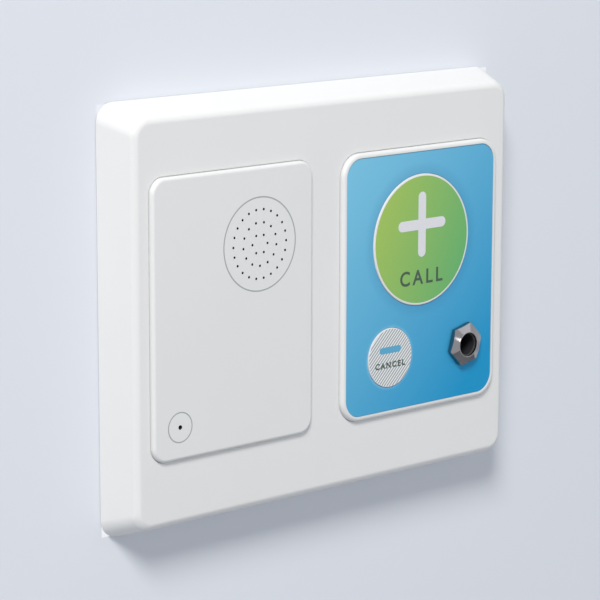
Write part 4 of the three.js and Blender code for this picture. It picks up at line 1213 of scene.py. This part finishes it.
class CALLSOCKET_OT_jack(bpy.types.Operator):
    """Turns the jack's bush and cuts its chamfered hexagon nut"""

    bl_idname = "call_socket.jack"
    bl_label = "Jack nut and bush"

    def execute(self, context):
        _, _, sizes = settings()
        x, z = BUSH_MID.x, BUSH_MID.z
        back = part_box("jack_nut")[1].y
        corner = sizes.nut_flats / 2 / math.cos(math.pi / 6)
        lip = back - sizes.nut_height
        shoulder = back - sizes.nut_side
        slope = (shoulder - lip) / (corner - sizes.nut_hole)
        nut = rod("jack_nut_plated", corner, lip - MM, back, x, z, 6)
        turn(nut, sizes.nut_turn, x, z)
        cone = turned(
            "cone",
            [
                (sizes.nut_hole + 0.3 * MM, lip),
                (sizes.nut_hole + 0.7 * MM, lip + slope * 0.55 * MM),
                (corner + MM, shoulder + slope * MM),
                (corner + MM, back + MM),
            ],
            x,
            z,
            128,
        )
        combine(nut, cone, "INTERSECT")
        carve(nut, rod("bore", NUT_BORE, lip + NUT_FLOOR, back + OVER, x, z, 72))
        carve(nut, rod("hole", sizes.nut_hole, lip - OVER, back + OVER, x, z, 72))
        front_edge = edge_at_y(lip)
        round_edges(nut, lambda e: front_edge(e) and len(e.link_faces) == 2, NUT_LIP_ROUND, 3)
        complete(nut, "chrome", "socket", "chrome", "jack_nut", angle=28)
        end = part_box("jack_bush")[1].y
        front = lip + BUSH_SET_BACK
        flange = end - BUSH_FLANGE_THICK
        points = [
            (BUSH_BORE, front + 0.5 * MM),
            (BUSH_BORE + 0.15 * MM, front + 0.18 * MM),
            (BUSH_BORE + 0.5 * MM, front),
            (BUSH_RADIUS - 0.25 * MM, front),
            (BUSH_RADIUS, front + 0.25 * MM),
        ]
        points += thread_points(
            BUSH_RADIUS, 0.25 * MM, front + 0.5 * MM, flange - 0.1 * MM, 0.79 * MM
        )
        points += [
            (BUSH_RADIUS, flange),
            (BUSH_FLANGE - BUSH_FLANGE_CHAMFER, flange),
            (BUSH_FLANGE, flange + BUSH_FLANGE_CHAMFER),
            (BUSH_FLANGE, end),
            (BUSH_BORE, end),
        ]
        bush = turned("jack_bush_turned", points, x, z, 72, True)
        finish_surface(bush, 28)
        dress(bush, finish_named("chrome"), finish_named("black"))
        # The bore and the front ring inside the nut's hole, all faces within 4.2 mm of the axis, take
        # the black finish.
        paint(bush, 1, lambda f: math.hypot(f.center.x - x, f.center.z - z) < 4.2 * MM)
        put(bush, "socket", "chrome", "jack_bush")
        return {"FINISHED"}


class CALLSOCKET_OT_bracket(bpy.types.Operator):
    """Presses the wall bracket with its windows, fixing slots and clip ears"""

    bl_idname = "call_socket.bracket"
    bl_label = "Wall bracket"

    def execute(self, context):
        width, height = BRACKET_SIZE.x, BRACKET_SIZE.z
        front = -BRACKET_THICK
        base = plate("bracket_pressing", width, height, BRACKET_CORNER, front, 0.0, steps=8)
        round_edges(base, lambda e: edge_at_y(front)(e) or edge_at_y(0.0)(e), BRACKET_EDGE, 2)
        middle_z = height / 2 - EAR_INSET

        def ear_corner(edge):
            one, other = edge.verts
            return edge_at_y(EAR_TOP)(edge) and near(one.co.x, other.co.x)

        ears = []
        for x in (SPEECH_MID.x, CALL_MID.x):
            for side in (-1, 1):
                low, high = sorted((side * (middle_z - EAR_HALF), side * (middle_z + EAR_HALF)))
                ear = block(
                    "ear", (x - EAR_HALF_WIDTH, EAR_TOP, low), (x + EAR_HALF_WIDTH, EAR_ROOT, high)
                )
                round_edges(ear, ear_corner, EAR_ROUND, 4)
                catch = block(
                    "catch",
                    (x - CATCH_HALF_WIDTH, CATCH_FRONT, low - OVER),
                    (x + CATCH_HALF_WIDTH, CATCH_BACK, high + OVER),
                )
                ears.append(carve(ear, catch))
        fuse(base, gather(ears, "ears"))
        tall = SPEECH_SIZE.z - 2 * FLANGE - 0.2 * MM
        windows = []
        for middle, size in ((SPEECH_MID, SPEECH_SIZE), (CALL_MID, CALL_SIZE)):
            wide = size.x - 2 * FLANGE - 0.2 * MM
            windows.append((wide, tall, BRACKET_WINDOW_CORNER, middle))
        for i in (1, 2, 3, 4):
            middle = extent(f"wall_screw_{i}")[0]
            windows.append((SLOT_LENGTH, SLOT_WIDTH, SLOT_END, middle))
        for wide, tall, corner, middle in windows:
            x, z = middle.x, middle.z
            carve(base, plate("window", wide, tall, corner, front - OVER, OVER, x, z, 8))
        complete(base, "rear", "socket", "inner_plastic", "wall_bracket")
        return {"FINISHED"}


def hand_out(screw, *families):
    """Plates a screw and copies it to the places of each family's four solids."""
    finish_surface(screw, 28)
    dress(screw, finish_named("steel"))
    for family in families:
        for i in (1, 2, 3, 4):
            middle = extent(f"{family}_{i}")[0]
            copy = copies(screw, [(middle.x, 0, middle.z)])[0]
            copy.name = f"{family}_threaded_{i}"
            put(copy, "socket", "steel", f"{family}_{i}")
    bpy.data.objects.remove(screw)


class CALLSOCKET_OT_screws(bpy.types.Operator):
    """Makes one wall screw and one case screw, and copies them to their places"""

    bl_idname = "call_socket.screws"
    bl_label = "Screws"

    def execute(self, context):
        low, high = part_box("wall_screw_1")
        head = low.y
        points = [
            (1.6 * MM, head),
            (2.9 * MM, head + 0.28 * MM),
            (3.7 * MM, head + 0.95 * MM),
            (4.0 * MM, head + 1.7 * MM),
            (4.0 * MM, head + 2.4 * MM),
            (1.75 * MM, head + 2.4 * MM),
        ]
        points += thread_points(2.0 * MM, 0.45 * MM, head + 3.4 * MM, high.y - 2.6 * MM, 1.7 * MM)
        points += [(1.1 * MM, high.y - 1.2 * MM), (0.25 * MM, high.y)]
        screw = turned("wall_screw", points, sides=32)
        carve(screw, cross_recess(0, 0, head, 1.9 * MM, 1.5 * MM, 1))
        hand_out(screw, "wall_screw")
        low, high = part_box("speech_case_screw_1")
        head = high.y
        points = [
            (1.0 * MM, head),
            (1.6 * MM, head - 0.18 * MM),
            (2.0 * MM, head - 0.7 * MM),
            (2.0 * MM, head - 1.4 * MM),
            (1.0 * MM, head - 1.4 * MM),
        ]
        points += thread_points(1.15 * MM, 0.25 * MM, head - 2.2 * MM, low.y + 1.6 * MM, -1.1 * MM)
        points += [(0.6 * MM, low.y + 0.7 * MM), (0.15 * MM, low.y)]
        screw = turned("case_screw", points, sides=24)
        carve(screw, cross_recess(0, 0, head, 1.15 * MM, 0.9 * MM, -1))
        hand_out(screw, "speech_case_screw", "call_case_screw")
        return {"FINISHED"}


class CALLSOCKET_OT_rear_covers(bpy.types.Operator):
    """Moulds the two rear covers with their flanges, vents and counterbores"""

    bl_idname = "call_socket.rear_covers"
    bl_label = "Rear covers"

    def execute(self, context):
        _, sizes, _ = settings()
        modules = [
            ("speech", SPEECH_MID, SPEECH_SIZE, sizes.speech_corner),
            ("call", CALL_MID, CALL_SIZE, sizes.call_corner),
        ]
        for module, middle, size, corner in modules:
            node = f"{module}_rear_cover"
            low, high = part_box(node)
            front, back = low.y, high.y
            x, z = middle.x, middle.z
            wide, tall = size.x - 2 * FLANGE, size.z - 2 * FLANGE

            def body(name, inset, radius, y0, y1, steps):
                """A plate inside the rear cover's outline."""
                width, height = wide - 2 * (REAR_STEP + inset), tall - 2 * (REAR_STEP + inset)
                return plate(name, width, height, radius, y0, y1, x, z, steps)

            shell = body(f"{node}_moulding", 0.0, REAR_CORNER, front, back, 10)
            round_edges(shell, edge_at_y(back), REAR_EDGE, 4)
            end = front + REAR_FLANGE_THICK
            flange = plate("flange", size.x, size.z, corner + FLANGE, front, end, x, z, 12)
            round_edges(flange, edge_at_y(end), 0.25 * MM, 2)
            fuse(shell, flange)
            corner = REAR_CORNER - REAR_WALL
            carve(shell, body("inside", REAR_WALL, corner, front - OVER, back - REAR_WALL, 8))
            places = corner_places(middle, wide, tall)
            boss = rod("boss", REAR_BOSS_RADIUS, REAR_BOSS_FRONT, back - 1.4 * MM, sides=32)
            bosses = repeat(boss, places, "bosses")
            keep = body("keep", ROOT, REAR_CORNER - ROOT, 0.0, back - ROOT, 8)
            fuse(shell, combine(bosses, keep, "INTERSECT"))
            sink = turned(
                "sink",
                [
                    (PILOT_RADIUS, 2.0 * MM),
                    (PILOT_RADIUS, back - SINK_FLOOR),
                    (SINK_RADIUS, back - SINK_FLOOR),
                    (SINK_RADIUS, back - SINK_FLARE),
                    (SINK_MOUTH, back + SINK_FLARE),
                    (SINK_MOUTH, back + OVER),
                ],
                sides=32,
            )
            carve(shell, repeat(sink, places, "sinks"))
            cut = back - 3 * MM
            vent = plate("vent", VENT_WIDTH, VENT_HEIGHT, VENT_END, cut, back + OVER, steps=6)
            first = x - (VENT_COUNT - 1) / 2 * VENT_PITCH
            row = [(first + i * VENT_PITCH, 0, z - tall / 4) for i in range(VENT_COUNT)]
            carve(shell, repeat(vent, row, "vents"))
            if module == "call":
                block_low, block_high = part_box("terminal_block")
                window = block(
                    "window",
                    (block_low.x - 0.3 * MM, cut, block_low.z - 0.3 * MM),
                    (block_high.x + 0.3 * MM, back + OVER, block_high.z + 5.0 * MM),
                )
                carve(shell, round_edges(window, edge_along_y, 0.6 * MM, 3))
            complete(shell, "rear", "socket", "inner_plastic", node)
        return {"FINISHED"}


class CALLSOCKET_OT_inner_finishes(bpy.types.Operator):
    """Gives the solids inside their finishes"""

    bl_idname = "call_socket.inner_finishes"
    bl_label = "Inner finishes"

    def execute(self, context):
        by_finish = {
            "board": ("speech_board", "call_board"),
            "black": (
                "speech_amplifier",
                "call_controller",
                "speech_header",
                "call_header",
                "speech_capacitor",
                "speaker_retainer",
                "call_switch",
                "cancel_switch",
                "jack_body",
            ),
            "steel": (
                "speaker_basket",
                "speaker_magnet",
                "retainer_screw_1",
                "retainer_screw_2",
                "jack_lock_washer",
                "terminal_screw_1",
                "terminal_screw_2",
                "terminal_screw_3",
                "terminal_screw_4",
                "microphone_capsule",
            ),
            "paper": ("speaker_cone",),
            "rubber": ("speaker_gasket", "microphone_boot"),
            "plunger": ("call_switch_plunger", "cancel_switch_plunger"),
            "brass": ("tip_contact", "ring_contact", "sleeve_contact"),
            "terminal": ("terminal_block",),
        }
        for finish, names in by_finish.items():
            for name in names:
                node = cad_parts[name]
                slots = node.material_slots
                if not slots:
                    raise RuntimeError(f"{name} has no slot for its finish")
                for each in slots:
                    each.material = finish_named(finish)
        return {"FINISHED"}


class CALLSOCKET_OT_stage(bpy.types.Operator):
    """Sets the wall, the floor, the light and the camera"""

    bl_idname = "call_socket.stage"
    bl_label = "Stage"

    def execute(self, context):
        scene = context.scene
        colours = scene.call_socket_colours
        paint_on_wall = Finish("painted_wall")
        paint_on_wall.set(Roughness=0.85, Specular_IOR_Level=0.2)
        tone = paint_on_wall.noise(6.0, 2.0)
        base = paint_on_wall.mix(tone, [c * 0.98 for c in colours.wall], colours.wall)
        paint_on_wall.colour(base)
        # Clear from behind and inside the frame's outline, so that light reaches the back.
        facing = paint_on_wall.add("ShaderNodeNewGeometry").outputs["Backfacing"]
        clear = paint_on_wall.add("ShaderNodeBsdfTransparent")
        either = paint_on_wall.add("ShaderNodeMixShader")
        inside = [
            paint_on_wall.math(
                "LESS_THAN",
                paint_on_wall.math("ABSOLUTE", paint_on_wall.axis(name)),
                span / 2 - RECESS_INSET,
            )
            for name, span in (("X", FRAME_SIZE.x), ("Z", FRAME_SIZE.z))
        ]
        recess = paint_on_wall.math("MULTIPLY", *inside)
        out = paint_on_wall.tree.nodes["Material Output"]
        paint_on_wall.link(paint_on_wall.math("MAXIMUM", facing, recess), either.inputs[0])
        paint_on_wall.link(paint_on_wall.shader.outputs[0], either.inputs[1])
        paint_on_wall.link(clear.outputs[0], either.inputs[2])
        paint_on_wall.link(either.outputs[0], out.inputs["Surface"])
        deselect()
        bpy.ops.mesh.primitive_plane_add(
            size=STAGE_SIZE, location=(0, WALL_GAP, STAGE_SIZE / 4), rotation=(math.pi / 2, 0, 0)
        )
        wall = settle("wall")
        dress(wall, paint_on_wall.material)
        floor_finish = Finish("pale_floor")
        floor_finish.set(Roughness=0.8)
        tone = floor_finish.noise(3.0, 2.0)
        floor_finish.colour(floor_finish.mix(tone, (0.60, 0.61, 0.64), (0.63, 0.64, 0.67)))
        deselect()
        bpy.ops.mesh.primitive_plane_add(size=STAGE_SIZE, location=(0, 0, -STAGE_SIZE / 4))
        floor = settle("floor")
        dress(floor, floor_finish.material)

        world = bpy.data.worlds.new("studio")
        scene.world = world
        world.use_nodes = True
        nodes, links = world.node_tree.nodes, world.node_tree.links
        nodes.clear()
        path = nodes.new("ShaderNodeLightPath")
        soft = nodes.new("ShaderNodeBackground")
        soft.inputs["Color"].default_value = (0.90, 0.94, 1.0, 1)
        soft.inputs["Strength"].default_value = 0.365
        seen = nodes.new("ShaderNodeBackground")
        seen.inputs["Color"].default_value = (0.86, 0.88, 0.93, 1)
        seen.inputs["Strength"].default_value = 1.0
        either = nodes.new("ShaderNodeMixShader")
        out = nodes.new("ShaderNodeOutputWorld")
        most = nodes.new("ShaderNodeMath")
        most.operation = "MAXIMUM"
        links.new(path.outputs["Is Camera Ray"], most.inputs[0])
        links.new(path.outputs["Is Glossy Ray"], most.inputs[1])
        links.new(most.outputs[0], either.inputs[0])
        links.new(soft.outputs[0], either.inputs[1])
        links.new(seen.outputs[0], either.inputs[2])
        links.new(either.outputs[0], out.inputs["Surface"])

        for name, direction, away, size, power, tint in LAMPS:
            towards = Vector(direction).normalized()
            deselect()
            bpy.ops.object.light_add(type="AREA", location=towards * away)
            lamp = bpy.context.view_layer.objects.active
            lamp.name = name
            lamp.data.shape = "DISK"
            lamp.data.size = size
            lamp.data.energy = power
            lamp.data.color = tint
            lamp.rotation_euler = towards.to_track_quat("Z", "Y").to_euler()

        deselect()
        bpy.ops.object.camera_add(location=CAMERA_PLACE)
        camera = bpy.context.view_layer.objects.active
        yaw, pitch, roll = (math.radians(angle) for angle in CAMERA_ANGLES)
        pose = (
            Matrix.Rotation(-yaw, 3, "Z")
            @ Matrix.Rotation(math.pi / 2 - pitch, 3, "X")
            @ Matrix.Rotation(roll, 3, "Z")
        )
        camera.rotation_euler = pose.to_euler()
        camera.data.sensor_width = 36
        camera.data.lens = CAMERA_LENS
        camera.data.clip_start = 0.01
        scene.camera = camera
        scene.view_settings.view_transform = "Standard"
        return {"FINISHED"}


OPERATORS = (
    CALLSOCKET_OT_frame,
    CALLSOCKET_OT_speech_cover,
    CALLSOCKET_OT_call_cover,
    CALLSOCKET_OT_call_key,
    CALLSOCKET_OT_cancel_key,
    CALLSOCKET_OT_jack,
    CALLSOCKET_OT_bracket,
    CALLSOCKET_OT_screws,
    CALLSOCKET_OT_rear_covers,
    CALLSOCKET_OT_inner_finishes,
    CALLSOCKET_OT_stage,
)


class CALLSOCKET_PT_pieces(bpy.types.Panel):
    """The socket's pieces and settings"""

    bl_idname = "CALLSOCKET_PT_pieces"
    bl_label = "Nurse call socket"
    bl_space_type = "VIEW_3D"
    bl_region_type = "UI"
    bl_category = "Call Socket"

    def draw(self, context):
        for operator in OPERATORS:
            self.layout.operator(operator.bl_idname)
        for name, group in GROUPS:
            box = self.layout.box()
            values = getattr(context.scene, name)
            for key in group.__annotations__:
                box.prop(values, key)


GROUPS = (
    ("call_socket_plate", CallSocketPlate),
    ("call_socket_modules", CallSocketModules),
    ("call_socket_keys", CallSocketKeys),
    ("call_socket_colours", CallSocketColours),
)


def register():
    for name, group in GROUPS:
        bpy.utils.register_class(group)
        setattr(bpy.types.Scene, name, bpy.props.PointerProperty(type=group))
    for operator in OPERATORS:
        bpy.utils.register_class(operator)
    bpy.utils.register_class(CALLSOCKET_PT_pieces)


def unregister():
    bpy.utils.unregister_class(CALLSOCKET_PT_pieces)
    for operator in reversed(OPERATORS):
        bpy.utils.unregister_class(operator)
    for name, group in reversed(GROUPS):
        delattr(bpy.types.Scene, name)
        bpy.utils.unregister_class(group)


def main():
    register()
    for operator in OPERATORS:
        family, name = operator.bl_idname.split(".")
        getattr(getattr(bpy.ops, family), name)()


if __name__ == "__main__":
    main()
